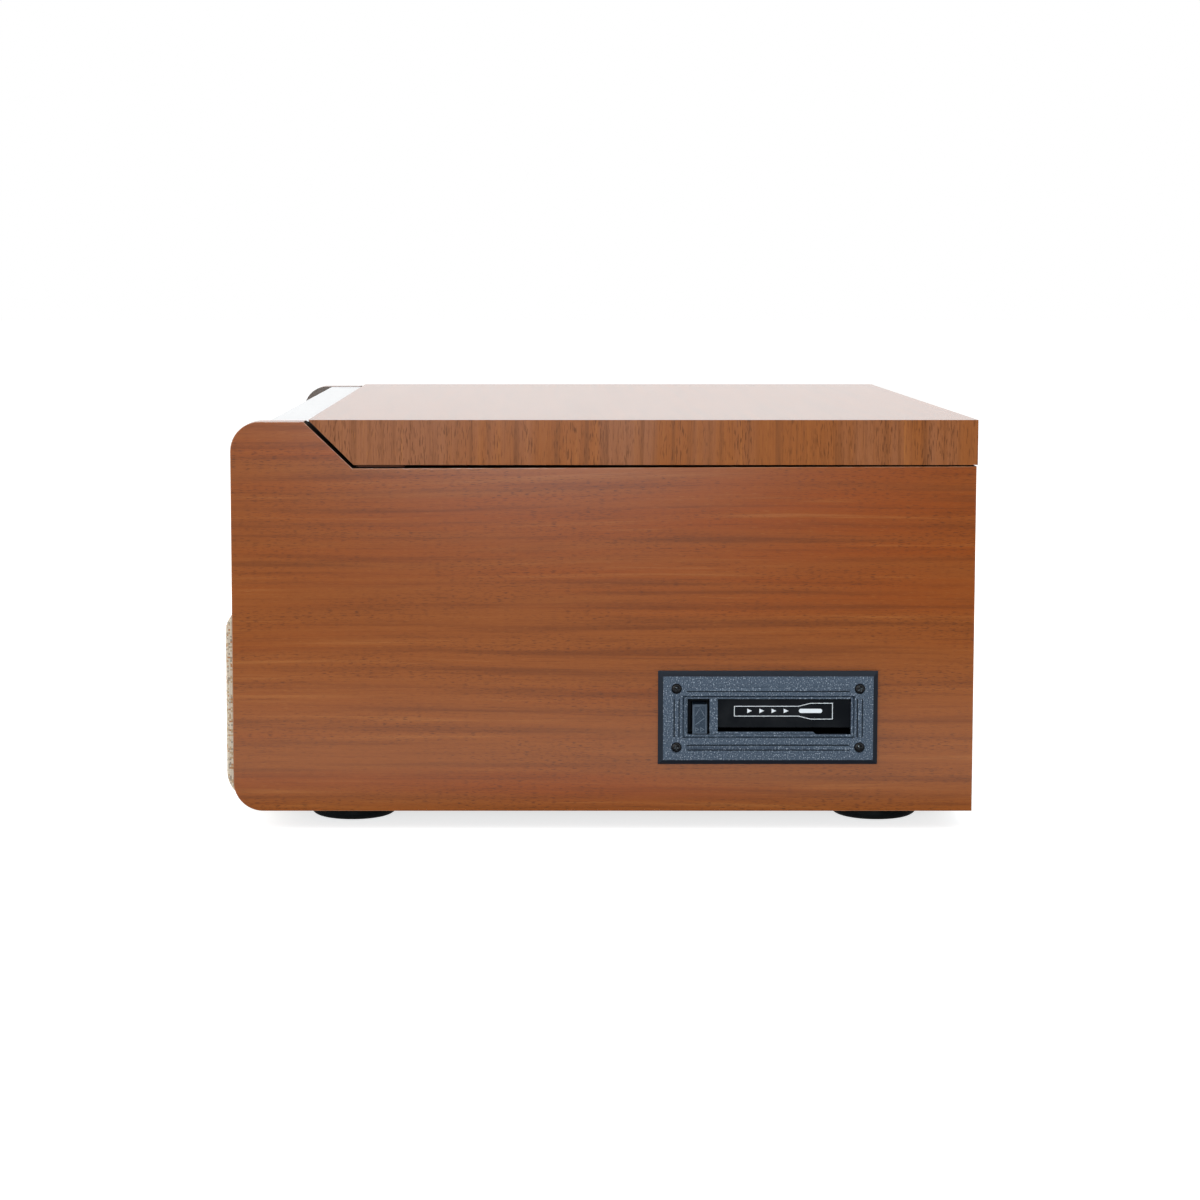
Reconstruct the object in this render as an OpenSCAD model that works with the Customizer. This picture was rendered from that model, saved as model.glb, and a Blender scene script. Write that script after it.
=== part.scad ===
// Wooden record player with a hinged lid, a belt-driven turntable, a disc drawer, a tape
// slot in its right side, a slide-rule dial and a cloth-covered speaker front.
//
// Pieces are drawn with y = 0 at the front edge of the side panels, z = 0 at their lower
// edge and x = 0 midway between them. place() then moves every piece so that the origin
// lies on the floor under the middle of the object. +X is the right side, +Y the back.

/* [Cabinet] */
// Width over the side panels
cabinet_w = 450; // [440:1:480]
// Depth of the side panels
cabinet_d = 365; // [362:0.5:400]
// Height of the side panels
cabinet_h = 193.5; // [192:0.5:215]
// Thickness of the side panels
panel_t = 15; // [13:0.5:18]
// Radius of the two front corners of a side panel
corner_r = 14.5; // [8:0.5:18]
// Thickness of the base board
base_t = 12; // [9:0.5:14]
// Thickness of the back board
back_t = 9; // [6:0.5:10]
// Depth of the rabbet and of the deck groove in the side panels
rabbet = 5; // [3:0.5:7]

/* [Lid] */
// Distance from the panels' front edge to the lid's front edge
lid_front = 37.8; // [36:0.1:40]
// Height of the lid's sides
lid_h = 22; // [20:0.5:24]
// Thickness of the lid's board
lid_board_t = 9; // [7:0.5:10]
// Thickness of the rail along the lid's back
lid_rail_t = 9; // [6:0.5:10]
// How far the lid reaches past the back of the cabinet
lid_overhang = 0.5; // [0:0.1:1]
// Gap under the lid at its front end
lid_gap_front = 1.7; // [1.2:0.1:2.5]
// Gap under the lid at its back end
lid_gap_rear = 0.7; // [0.4:0.1:1.2]
// Horizontal gap along the lid's sloping front edge
lid_slit = 1.8; // [1:0.1:2.5]
// Length of the pads under the lid's front
pad_l = 24; // [10:1:30]

/* [Feet] */
// Height of a foot
foot_h = 9; // [7:0.5:14]
// Outer radius of a foot
foot_r = 21.5; // [18:0.5:26]
// Radius of the flat under a foot
foot_flat_r = 16; // [12:0.5:17]
// Distance from a cabinet side to a foot's centre
foot_inset = 41.6; // [36:0.2:60]
// Distance from the front edge to the front feet's centres
foot_front = 56.8; // [50:0.2:80]
// Distance from the back to the rear feet's centres
foot_rear = 43.8; // [40:0.2:70]

/* [Front] */
// Distance from the panels' front edge back to the fascia's fold
fascia_fold = 17.4; // [14:0.2:20]
// Distance from the panels' front edge back to the fascia's lower edge
fascia_foot = 4; // [2:0.2:6]
// How far the fascia's top lies below the panels' top
fascia_drop = 1.2; // [0.6:0.1:2]
// Wall thickness of the fascia
fascia_t = 3; // [2:0.1:3.5]
// Distance from the panels' top down to the grille's top edge
grille_down = 93.9; // [91.5:0.1:96.5]
// Height of the grille's lower edge
grille_low = 2.5; // [1:0.1:5]
// How far the grille stands in front of the side panels
grille_proud = 5; // [3:0.2:7]
// Distance from the panels' front edge to the grille's back
grille_back = 10; // [10:0.5:14]
// Radius of the grille's upper edge
grille_top_r = 12; // [8:0.5:12]
// Radius of the grille's lower edge
grille_low_r = 14; // [8:0.5:14]
// Thickness of the grille's cloth
cloth_t = 0.8; // [0.5:0.1:1.2]
// Thickness of the speaker baffle
baffle_t = 10; // [8:0.5:12]
// Distance of each speaker's centre from the middle
speaker_x = 120; // [100:1:140]
// Distance from a speaker's rim to the baffle's upper and lower edges
speaker_margin = 4.2; // [3:0.1:8]

/* [Dial and controls] */
// Width of the dial window
dial_w = 210; // [180:1:220]
// Height of the dial window
dial_h = 46; // [40:0.5:50]
// Height of the dial's and the knobs' centres up the fascia
dial_s = 60; // [58:0.5:62]
// Travel of the dial's pointer to each side
pointer_travel = 85; // [60:1:88]
// Distance of a knob's centre from the middle
knob_x = 158; // [150:1:165]
// Radius of a knob
knob_r = 23; // [18:0.5:26]
// How far a knob stands off the fascia
knob_h = 13; // [10:0.5:14]
// Radius of a push button
button_r = 5.5; // [4:0.1:6.5]
// Distance of the inner buttons from the middle
button_x = 92; // [90:0.5:96]
// Distance between two buttons
button_pitch = 22; // [18:0.5:24]
// Height of the buttons and sockets up the fascia
button_s = 18; // [15:0.5:20]
// Travel of a push button
button_travel = 1.5; // [1:0.1:1.8]

/* [Disc drawer] */
// Width of the drawer's front
drawer_w = 140; // [136:0.5:146]
// Height of the drawer's front
drawer_h = 15.5; // [13:0.5:17]
// Length of the drawer's tray
drawer_l = 153; // [145:1:160]
// Height of the drawer above the grille's top edge
drawer_rise = 8.4; // [7:0.2:9]

/* [Turntable] */
// Distance from the panels' top down to the deck
deck_drop = 51.5; // [50:0.5:53]
// Thickness of the deck
deck_t = 4; // [3:0.5:5]
// Sideways place of the spindle
spindle_x = -48; // [-50:0.5:-40]
// Distance from the back to the spindle
spindle_back = 166; // [163:0.5:167]
// Radius of the record spindle
spindle_r = 3.6; // [3.4:0.05:3.6]
// Radius of the platter
platter_r = 110; // [105:1:120]
// Thickness of the platter's rubber mat
mat_t = 2.5; // [1.5:0.1:3]
// Outer radius of the ring that the belt drives
belt_ring_r = 75; // [70:0.5:76]
// Radius of the motor pulley
pulley_r = 6; // [4:0.1:6.5]
// Thickness of the belt
belt_t = 0.8; // [0.5:0.1:1]

/* [Tonearm] */
// Sideways place of the tonearm's pivot
arm_x = 124; // [123:0.5:130]
// Distance from the back to the tonearm's pivot
arm_back = 62.5; // [59:0.5:65]
// Height of the arm's centre line above the deck
arm_rise = 28; // [27:0.25:29]
// Radius of the arm tube
arm_r = 4; // [3:0.25:4.5]
// Length of the tube in front of the pivot
arm_l = 166; // [160:1:168]
// Angle of the headshell to the tube
head_angle = 20; // [15:1:25]
// Radius of the counterweight
weight_r = 12; // [8:0.5:12.5]
// Length of the counterweight
weight_l = 26; // [16:0.5:30]

/* [Tape deck] */
// Distance from the front edge to the tape bezel
bezel_y = 209.6; // [205:0.2:212]
// Width of the tape bezel
bezel_w = 108.1; // [107.5:0.1:112]
// Height of the tape bezel's lower edge
bezel_z = 23.8; // [22:0.1:28]
// Height of the tape bezel
bezel_h = 46.3; // [45:0.1:50]
// How far the tape bezel stands off the side panel
bezel_proud = 4; // [3.5:0.1:5]
// Width of the sloping border of the tape bezel
bezel_slope = 2.4; // [1.5:0.1:3]
// Width of the slot for the tape
slot_w = 65.6; // [65:0.1:66]
// Travel of the tape key
key_travel = 5; // [3:0.5:6]

/* [Hidden] */
$fn = 64;

// Clearances: eps lets one cut pass a face, slip is for sliding and loose fits, and
// run is the radial clearance of a shaft in its bore.
eps = 1;
slip = 0.3;
run = 0.05;

// Cabinet
side_x = cabinet_w / 2;
inner_x = side_x - panel_t;
inner_w = 2 * inner_x;
back_y = cabinet_d - back_t;

// Lid
lid_low = cabinet_h - lid_h;
lid_back = cabinet_d + lid_overhang;
lid_under = cabinet_h - lid_board_t;
notch_front_z = lid_low - lid_gap_front;
notch_rear_z = lid_low - lid_gap_rear;

// Lid hinges: leaves on the back board and on the lid's rail, with their pins behind them
leaf_t = 1.8;
leaf_w = 50;
leaf_h = 20;
barrel_r = 3.3;
pin_r = 1.5;
hinge_x = 130;
knuckle_w = 16;
hinge_y = lid_back + leaf_t + pin_r + 0.5;
hinge_z = lid_low - 0.5;

// Phono sockets on the back, and the middle of the whole object's depth
phono_r = 4.15;
phono_l = 8;
phono_plate_t = 1.6;
rear_out = max(hinge_y + barrel_r, cabinet_d + phono_plate_t + phono_l);
y_mid = (rear_out - grille_proud) / 2;

// Fascia: its front face rises from (fascia_foot, face_z) to (fascia_fold, face_top)
grille_top = cabinet_h - grille_down;
face_z = grille_top + 0.8;
face_top = cabinet_h - fascia_drop;
face_a = atan((fascia_fold - fascia_foot) / (face_top - face_z));
face_len = (face_top - face_z) / cos(face_a);
fascia_w = inner_w - 2 * slip;
slit_y = lid_front - lid_slit;
fascia_rear_z = lid_under - 1.5;
fascia_rear_y = slit_y + cabinet_h - fascia_rear_z;
fascia_rear_t = 2.5;

// Controls on the fascia
stem_r = 3;
pot_r = 8;
pot_top = 9;
board_gap = 18.4;
board_t = 1.6;
board_x = inner_x - 14;
board_low = dial_s - 30;
board_top = dial_s + 26;
wing_x = drawer_w / 2 + 8;
wing_low = button_s - 12;
post_r = 3;
post_in = 6;
flange_r = button_r + 1.7;
flange_t = 1.5;
button_h = 2.4;
button_tail = 6.5;
glass_t = 2;
scale_gap = 5;
scale_t = 1.5;
jack_x = -150;
usb_x = 150;
jack_r = 4;
jack_bore_r = 1.8;
jack_l = 14;
jack_bore_l = 13;
usb_w = 14.5;
usb_h = 7;

// Disc drawer
drawer_z = grille_top + drawer_rise;
tray_z = drawer_z + 2;
tray_t = 4;
tray_w = drawer_w - 8;
tray_y = 12;
disc_y = 85;
disc_r = 60.5;
rail_t = 4;
chassis_y = grille_back + baffle_t + 4;
chassis_l = drawer_l + 24;

// Turntable
deck_z = cabinet_h - deck_drop;
deck_front = fascia_rear_y + slip;
spindle_y = cabinet_d - spindle_back;
shaft_r = spindle_r + 1.4;
platter_z = deck_z + 3;
platter_h = 10;
platter_top = platter_z + platter_h;
mat_top = platter_top + mat_t;
collar_z = mat_top - 0.4;
record_r = 151;
bush_r = 8;
bush_l = 9;
hub_r = 12;
spindle_top = mat_top + 10.5;
belt_h = 3.6;
belt_z = platter_z + 1;
pulley_a = 200;
pulley_far = 91;
pulley_x = spindle_x + pulley_far * cos(pulley_a);
pulley_y = spindle_y + pulley_far * sin(pulley_a);
motor_r = 17;
motor_h = 22;
motor_shaft_r = 1.2;

// Tonearm
arm_y = cabinet_d - arm_back;
arm_z = deck_z + arm_rise;
base_h = 14;
turret_r = 15;
ear_in = 7.5;
ear_t = 3;
pivot_r = 1.2;
swing_shaft_r = 4;
lift_r = 32;
lift_a = 20;
rod_r = 2;
lever_x = arm_x + 28;
lever_y = arm_y - 30.5;
lever_z = deck_z + 8;
rest_y = arm_y - 152.5;
weight_in = 17;
head_l = 42;
head_w = 17;
head_t = 4;
cart_h = 6;
cart_w = 14;
cart_l = 22;
tip_z = mat_top + 2.3;
clip_rise = 0.6;

// Deck switches
switch_x = inner_x - 38;
speed_y = 96;
speed_travel = 12;
stop_y = 150;
stop_travel = 5;

// Tape deck, on the outer face of the right side panel
bezel_y2 = bezel_y + bezel_w;
bezel_z2 = bezel_z + bezel_h;
well_y = bezel_y + 11.9;
well_y2 = bezel_y2 - 11.6;
well_z = bezel_z + 13.3;
well_z2 = bezel_z2 - 12;
well_floor_x = side_x + bezel_proud - 2.8;
plate_t = 2;
slot_y2 = well_y2 - 1.5;
slot_y = slot_y2 - slot_w;
slot_z = well_z + 2.7;
slot_step_z = well_z + 0.8;
slot_step_y = slot_y2 - 16.5;
slot_slant = 2.1;
slot_z2 = well_z2 - 2;
key_win_y = well_y + 2.6;
key_win_y2 = slot_y - 4;
key_win_z = well_z + 1.5;
key_win_z2 = well_z2 - 1.5;
key_y = key_win_y + 2.4;
key_y2 = key_win_y2 - 1.3;
key_z = key_win_z + 0.3;
key_z2 = key_win_z2 - 3;
key_l = 33;
screw_in_y = 9;
screw_in_z = 8.6;
tape_screw_r = 1.3;
tape_head_r = 2.5;
chassis_x = well_floor_x - plate_t;
bay_y = slot_y - 0.4;
bay_y2 = slot_y2 + 0.4;
bay_z = slot_step_z - 0.2;
bay_z2 = slot_z2 + 2.3;
bay_l = 107;
tape_wall = 2;
tape_l = 120;
flap_t = 1.5;
flap_x = chassis_x - 0.5 - flap_t;
flap_axis_z = slot_z2 + 0.9;
flap_low = slot_z + 1.8;
flap_pin_r = 1;
flap_roll_r = 1.2;

// Fasteners and openings of the cabinet
screw_r = 1.5;
screw_head_r = 3.2;
screw_head_h = 1.8;
back_screw_x = inner_x + rabbet / 2;
back_screw_l = 14;
back_screw_low = 20;
back_screw_top = notch_rear_z - 20.8;
back_screw_zs = [back_screw_low, (back_screw_low + back_screw_top) / 2, back_screw_top];
low_screw_xs = [-120, 0, 120];
socket_win = [72, 34, 56, 18];
inlet_win = [-150, 34, 24.4, 16.4];
vent_n = 8;
vent_x = -70;
vent_z = notch_rear_z - 80.8;
vent_w = 6;
vent_h = 34;
vent_pitch = 18;
foot_points = [
  for (x = [-1, 1]) for (y = [foot_front, cabinet_d - foot_rear]) [x * (side_x - foot_inset), y]
];
foot_edge = 3.2;
foot_screw_l = 12;
foot_recess_r = 5;
foot_recess_l = 4;

// More sizes of the grille, the speakers, the lid's pads and the hinges
grille_x = inner_x - 1;
slat_pitch = 9;
slat_w = 5;
speaker_rim = 8;
speaker_r = (face_z - base_t) / 2 - speaker_rim - speaker_margin;
speaker_z = (face_z + base_t) / 2;
magnet_r = 0.75 * speaker_r;
magnet_z = 17;
magnet_l = 13;
slat_l = 2 * speaker_r - 8;
pad_y = lid_front + lid_h + 1.5;
pad_t = lid_gap_front - 0.4;
lid_span = [-knuckle_w / 2, knuckle_w];
cabinet_spans = [
  [-leaf_w / 2, (leaf_w - knuckle_w) / 2 - slip],
  [knuckle_w / 2 + slip, (leaf_w - knuckle_w) / 2 - slip]
];
button_xs = [-button_x - button_pitch, -button_x, button_x, button_x + button_pitch];
rail_x = tray_w / 2 + rail_t;
dish_r = 150;
dish_l = 1.5;
label_r = 52;
platter_under = platter_z + 5.5;
rod_x0 = arm_x - lift_r * sin(lift_a);
rod_y0 = arm_y - lift_r * cos(lift_a);
rest_z = arm_z - arm_r - slip;
stub_r = arm_r - 0.5;
clip_x = arm_x + 12;
clip_z = arm_z + arm_r + clip_rise;
tape_y1 = bezel_y + screw_in_y;
tape_y2 = bezel_y2 - screw_in_y;
tape_z1 = bezel_z + screw_in_z;
tape_z2 = bezel_z2 - screw_in_z;
tape_screw_points = [for (y = [tape_y1, tape_y2]) for (z = [tape_z1, tape_z2]) [y, z]];
tape_head_x = side_x + bezel_proud - 1.2;
key_face_x = side_x + bezel_proud - 0.7;

// Main board and transformer, on the base
main_x = -90;
main_y = chassis_y + chassis_l + 14;
main_w = 130;
main_d = 90;
main_rise = 6;
cap_r = 8;
cap_h = 26;
fin_h = 25;
fin_pitch = 9;
core_x = 60 - inner_x;
core_y = back_y - 81;
core_w = 54;
core_d = 32;
core_h = 44;
coil_w = 34;
coil_d = 50;

// Foot of one phono socket's barrel, on the back board's outer face
function phono(i) =
  [socket_win[0] + socket_win[2] / 2 + (i - 1.5) * 16, cabinet_d, socket_win[1] + socket_win[3] / 2];

// Moves a piece from the drawing position to the object's own frame
module place() translate([0, -y_mid, foot_h]) children();

// Extrudes a y-z outline along x, and an x-z outline along y
module along_x(x, l) translate([x, 0, 0]) rotate([90, 0, 90]) linear_extrude(l) children();
module along_y(y, l) translate([0, y + l, 0]) rotate([90, 0, 0]) linear_extrude(l) children();

// A box between two corners
module block(a, b) translate(a) cube(b - a);

// A cylinder that starts at p and runs along y, or along x
module rod_y(p, r, l) translate(p) rotate([-90, 0, 0]) cylinder(r = r, h = l);
module rod_x(p, r, l) translate(p) rotate([0, 90, 0]) cylinder(r = r, h = l);

// The fascia's own frame: x sideways, y up its face, z out of its face
module on_face(x, s)
  translate([x, fascia_foot, face_z]) rotate([90 - face_a, 0, 0]) translate([0, s, 0]) children();

// A round hole through the fascia
module face_hole(x, s, r)
  on_face(x, s) translate([0, 0, -fascia_t - eps]) cylinder(r = r, h = fascia_t + 2 * eps);

// A child and its mirror image on the cabinet's other side
module both_sides() {
  children();
  mirror([1, 0, 0]) children();
}

// Side panels

// Outline of a side panel, with round front corners and the notch that the lid fills
module side_outline() difference() {
  union() {
    translate([corner_r, 0]) square([cabinet_d - corner_r, cabinet_h]);
    translate([0, corner_r]) square([corner_r + eps, cabinet_h - 2 * corner_r]);
    translate([corner_r, corner_r]) circle(corner_r);
    translate([corner_r, cabinet_h - corner_r]) circle(corner_r);
  }
  polygon([
    [slit_y - eps, cabinet_h + eps],
    [slit_y + cabinet_h - notch_front_z, notch_front_z],
    [cabinet_d + eps, notch_rear_z],
    [cabinet_d + eps, cabinet_h + eps]
  ]);
}

// Left panel, with a rabbet for the back board and a groove for the deck
module panel_blank() difference() {
  along_x(-side_x, panel_t) side_outline();
  block([-inner_x - rabbet, back_y, -eps], [-inner_x + eps, cabinet_d + eps, cabinet_h]);
  block([-inner_x - rabbet, deck_front - slip, deck_z - deck_t], [-inner_x + eps, back_y + eps, deck_z]);
  for (z = back_screw_zs)
    rod_y([-back_screw_x, back_y - back_screw_l, z], screw_r + run, back_screw_l + eps);
}

module left_side_panel() color("saddlebrown") panel_blank();

module right_side_panel() color("saddlebrown") difference() {
  mirror([1, 0, 0]) panel_blank();
  block([inner_x - eps, well_y - 0.5, bay_z - tape_wall - 0.4],
        [side_x + eps, bay_y2 + tape_wall + slip, bay_z2 + tape_wall + slip]);
  for (p = tape_screw_points) rod_x([inner_x + 3, p[0], p[1]], tape_screw_r + run, panel_t);
}

// Base, back and baffle

module base_panel() color("peru") difference() {
  block([-inner_x, grille_back, 0], [inner_x, back_y, base_t]);
  for (p = foot_points)
    translate([p[0], p[1], -eps]) cylinder(r = screw_r + run, h = foot_screw_l - foot_recess_l + eps);
  for (x = low_screw_xs)
    rod_y([x, back_y - back_screw_l, base_t / 2], screw_r + run, back_screw_l + eps);
}

// A window in the back board, given as [left, bottom, width, height]
module back_window(w)
  block([w[0], back_y - eps, w[1]], [w[0] + w[2], cabinet_d + eps, w[1] + w[3]]);

// A screw hole through the back board
module back_hole(x, z) rod_y([x, back_y - eps, z], screw_r + run, back_t + 2 * eps);

module back_panel() color("dimgray") difference() {
  block([-inner_x - rabbet, back_y, 0], [inner_x + rabbet, cabinet_d, notch_rear_z]);
  back_window(socket_win);
  back_window(inlet_win);
  for (i = [0 : vent_n - 1]) back_window([vent_x + vent_pitch * i, vent_z, vent_w, vent_h]);
  for (z = back_screw_zs) both_sides() back_hole(back_screw_x, z);
  for (x = low_screw_xs) back_hole(x, base_t / 2);
}

// A round-headed screw along y, with its head behind the back board
module back_screw(x, z) {
  rod_y([x, back_y - back_screw_l + eps, z], screw_r, back_screw_l + back_t - eps + 0.2);
  rod_y([x, cabinet_d, z], screw_head_r, screw_head_h);
}

// A screw that holds a foot, with its head in the foot's recess
module foot_screw(p) translate([p[0], p[1], foot_recess_l - foot_h]) {
  translate([0, 0, -screw_head_h]) cylinder(r = screw_head_r, h = screw_head_h);
  translate([0, 0, -0.2]) cylinder(r = screw_r, h = foot_screw_l - eps);
}

module cabinet_screws() color("silver") {
  for (z = back_screw_zs) both_sides() back_screw(back_screw_x, z);
  for (x = low_screw_xs) back_screw(x, base_t / 2);
  for (p = foot_points) foot_screw(p);
}

module speaker_baffle() color("dimgray") difference() {
  block([-inner_x, grille_back, base_t], [inner_x, grille_back + baffle_t, face_z]);
  both_sides() rod_y([speaker_x, grille_back - eps, speaker_z], speaker_r + 2, baffle_t + 2 * eps);
}

// Feet: a short wall over a rounded edge, with a recess for the screw

module foot_outline() polygon(concat(
  [[0, -foot_h], [foot_flat_r, -foot_h]],
  [for (i = [1 : 8]) [
    foot_flat_r + (foot_r - foot_flat_r) * sin(i * 90 / 8),
    -foot_h + foot_edge * (1 - cos(i * 90 / 8))
  ]],
  [[foot_r, 0], [0, 0]]
));

module feet() color("black") for (p = foot_points) translate([p[0], p[1], 0]) difference() {
  rotate_extrude() foot_outline();
  translate([0, 0, -foot_h - eps]) cylinder(r = foot_recess_r, h = foot_recess_l + eps);
  translate([0, 0, -foot_h - eps]) cylinder(r = screw_r + run, h = foot_h + 2 * eps);
}

// Fascia and grille

// Cross-section of the fascia: a sloping front, a narrow top and a rear wall
module fascia_section() {
  wall = fascia_t / cos(face_a);
  top_in = face_top - fascia_t;
  fold_in = fascia_foot + wall + (top_in - face_z) * tan(face_a);
  rear_low = deck_z - deck_t;
  rear_in = fascia_rear_y - fascia_rear_t;
  polygon([
    [fascia_foot, face_z], [fascia_fold, face_top], [slit_y + fascia_drop, face_top],
    [fascia_rear_y, fascia_rear_z], [fascia_rear_y, rear_low], [rear_in, rear_low],
    [rear_in, fascia_rear_z - 1], [slit_y + fascia_drop - 1, top_in],
    [fold_in, top_in], [fascia_foot + wall, face_z]
  ]);
}

module front_fascia() color("whitesmoke") difference() {
  along_x(-fascia_w / 2, fascia_w) fascia_section();
  on_face(0, dial_s) translate([-dial_w / 2, -dial_h / 2, -fascia_t - eps])
    cube([dial_w, dial_h, fascia_t + 2 * eps]);
  block([-drawer_w / 2 - slip, -eps, drawer_z - slip],
        [drawer_w / 2 + slip, tray_y + 4, drawer_z + drawer_h + slip]);
  for (x = [-knob_x, knob_x]) face_hole(x, dial_s, stem_r + slip);
  for (x = button_xs) face_hole(x, button_s, button_r + slip);
  face_hole(jack_x, button_s, jack_r + run);
  on_face(usb_x, button_s) translate([-usb_w / 2 - run, -usb_h / 2 - run, -fascia_t - eps])
    cube([usb_w + 2 * run, usb_h + 2 * run, fascia_t + 2 * eps]);
}

// Cross-section of the grille, shrunk by t all round its front, top and bottom
module grille_section(t) {
  front = -grille_proud + t;
  low = grille_low + t;
  top = grille_top - t;
  r_top = grille_top_r - t;
  r_low = grille_low_r - t;
  intersection() {
    translate([front, low]) square([grille_back - front, top - low]);
    union() {
      translate([front, low + r_low]) square([grille_back - front, top - low - r_low - r_top]);
      translate([front + r_top, top - r_top]) square([grille_back, r_top]);
      translate([front + r_low, low]) square([grille_back, r_low]);
      translate([front + r_top, top - r_top]) circle(r_top);
      translate([front + r_low, low + r_low]) circle(r_low);
    }
  }
}

module grille_frame() color("black") difference() {
  along_x(-grille_x + cloth_t, 2 * (grille_x - cloth_t)) grille_section(cloth_t);
  for (i = [-5 : 5]) both_sides()
    block([speaker_x + i * slat_pitch - slat_w / 2, -grille_proud - eps, speaker_z - slat_l / 2],
          [speaker_x + i * slat_pitch + slat_w / 2, grille_back + eps, speaker_z + slat_l / 2]);
}

module grille_cloth() color("wheat") difference() {
  along_x(-grille_x, 2 * grille_x) intersection() {
    grille_section(0);
    translate([-grille_proud, 0]) square([grille_proud + grille_back - 1, cabinet_h]);
  }
  along_x(-grille_x + cloth_t, 2 * (grille_x - cloth_t)) grille_section(cloth_t);
}

// Lid

module lid_board() color("sienna") intersection() {
  along_y(lid_front, lid_back - lid_front) polygon([
    [-side_x, cabinet_h], [side_x, cabinet_h],
    [side_x - lid_board_t, lid_under], [-side_x + lid_board_t, lid_under]
  ]);
  along_x(-side_x, cabinet_w) polygon([
    [lid_front, cabinet_h], [lid_back, cabinet_h],
    [lid_back, lid_under], [lid_front + lid_board_t, lid_under]
  ]);
}

// Right side of the lid, mitred to the board and sloping back at its front end
module lid_cheek() intersection() {
  along_y(lid_front, lid_back - lid_front) polygon([
    [side_x, cabinet_h], [side_x, lid_low], [inner_x, lid_low],
    [inner_x, lid_under], [side_x - lid_board_t, lid_under]
  ]);
  along_x(inner_x, panel_t) polygon([
    [lid_front, cabinet_h], [lid_front + lid_h, lid_low], [lid_back, lid_low], [lid_back, cabinet_h]
  ]);
}

module lid_cheeks() color("sienna") both_sides() lid_cheek();

module lid_back_rail() color("sienna")
  block([-inner_x, lid_back - lid_rail_t, lid_low], [inner_x, lid_back, lid_under]);

module lid_pads() color("dimgray") both_sides()
  block([side_x - 12, pad_y, lid_low - pad_t], [side_x - 3, pad_y + pad_l, lid_low]);

// Lid hinges

// Knuckles of one hinge at the given starts and lengths along x, grown by t
module knuckles(spans, t) for (s = spans)
  rod_x([hinge_x + s[0] - t, hinge_y, hinge_z], barrel_r + t, s[1] + 2 * t);

// Bore through all knuckles of one hinge
module knuckle_bore() rod_x([hinge_x - leaf_w, hinge_y, hinge_z], pin_r + run, 2 * leaf_w);

module hinge_cabinet_leaves() color("silver") both_sides() difference() {
  union() {
    difference() {
      block([hinge_x - leaf_w / 2, cabinet_d, hinge_z - leaf_h],
            [hinge_x + leaf_w / 2, cabinet_d + leaf_t, hinge_z]);
      knuckles([lid_span], slip);
    }
    knuckles(cabinet_spans, 0);
  }
  knuckle_bore();
}

module hinge_lid_leaves() color("silver") both_sides() difference() {
  union() {
    difference() {
      block([hinge_x - leaf_w / 2, lid_back, lid_low],
            [hinge_x + leaf_w / 2, lid_back + leaf_t, hinge_z + leaf_h]);
      knuckles(cabinet_spans, slip);
    }
    knuckles([lid_span], 0);
  }
  knuckle_bore();
}

module hinge_pins() color("gray") both_sides()
  rod_x([hinge_x - leaf_w / 2, hinge_y, hinge_z], pin_r, leaf_w);

// Turntable

module deck_plate() color("dimgray") difference() {
  block([-inner_x - rabbet + slip, deck_front, deck_z - deck_t],
        [inner_x + rabbet - slip, back_y - slip, deck_z]);
  translate([spindle_x, spindle_y, deck_z - dish_l]) cylinder(r = dish_r, h = dish_l + eps);
  translate([spindle_x, spindle_y, deck_z - deck_t - eps]) cylinder(r = bush_r + run, h = deck_t + 2 * eps);
  translate([pulley_x, pulley_y, deck_z - deck_t - eps]) cylinder(r = pulley_r + 3, h = deck_t + 2 * eps);
  switch_slot(speed_y, speed_travel);
  switch_slot(stop_y, stop_travel);
}

// Slot in the deck for the stem of a sliding switch
module switch_slot(y, travel)
  block([switch_x - 1.8 - slip, y - 3 - slip, deck_z - deck_t - eps],
        [switch_x + 1.8 + slip, y + 3 + travel + slip, deck_z + eps]);

// Sliding switch: a cap of length l over a stem that reaches through the deck
module switch_cap(y, l) {
  block([switch_x - 6, y - l / 2, deck_z + slip], [switch_x + 6, y + l / 2, deck_z + 3]);
  block([switch_x - 4, y - l / 4, deck_z + 3], [switch_x + 4, y + l / 4, deck_z + 7]);
  block([switch_x - 1.8, y - 3, deck_z - deck_t - 3], [switch_x + 1.8, y + 3, deck_z + 1]);
}

module speed_switch() color("gainsboro") switch_cap(speed_y, 20);

module autostop_switch() color("gainsboro") switch_cap(stop_y, 14);

module platter_bearing() color("goldenrod") translate([spindle_x, spindle_y, 0]) difference() {
  union() {
    translate([0, 0, deck_z - bush_l - 3]) cylinder(r = bush_r, h = bush_l + 4);
    translate([0, 0, deck_z - deck_t - 2]) cylinder(r = bush_r + 6, h = 2);
  }
  translate([0, 0, deck_z - bush_l]) cylinder(r = shaft_r + run, h = bush_l + 4 + eps);
}

module platter() color("silver") translate([spindle_x, spindle_y, 0]) rotate_extrude() polygon([
  [shaft_r, deck_z + 1.3], [hub_r, deck_z + 1.3], [hub_r, platter_under],
  [belt_ring_r - 5, platter_under], [belt_ring_r - 5, platter_z], [belt_ring_r, platter_z],
  [belt_ring_r, platter_under], [platter_r - 4, platter_under], [platter_r - 4, platter_z],
  [platter_r, platter_z], [platter_r, platter_top - 1], [platter_r - 1, platter_top],
  [shaft_r, platter_top]
]);

module platter_mat() color("black") translate([spindle_x, spindle_y, 0]) rotate_extrude() polygon([
  [shaft_r + slip, platter_top], [platter_r - 2, platter_top], [platter_r - 2, mat_top - 0.6],
  [platter_r - 3, mat_top], [label_r, mat_top], [label_r - 1, mat_top - 0.6],
  [shaft_r + slip, mat_top - 0.6]
]);

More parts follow.
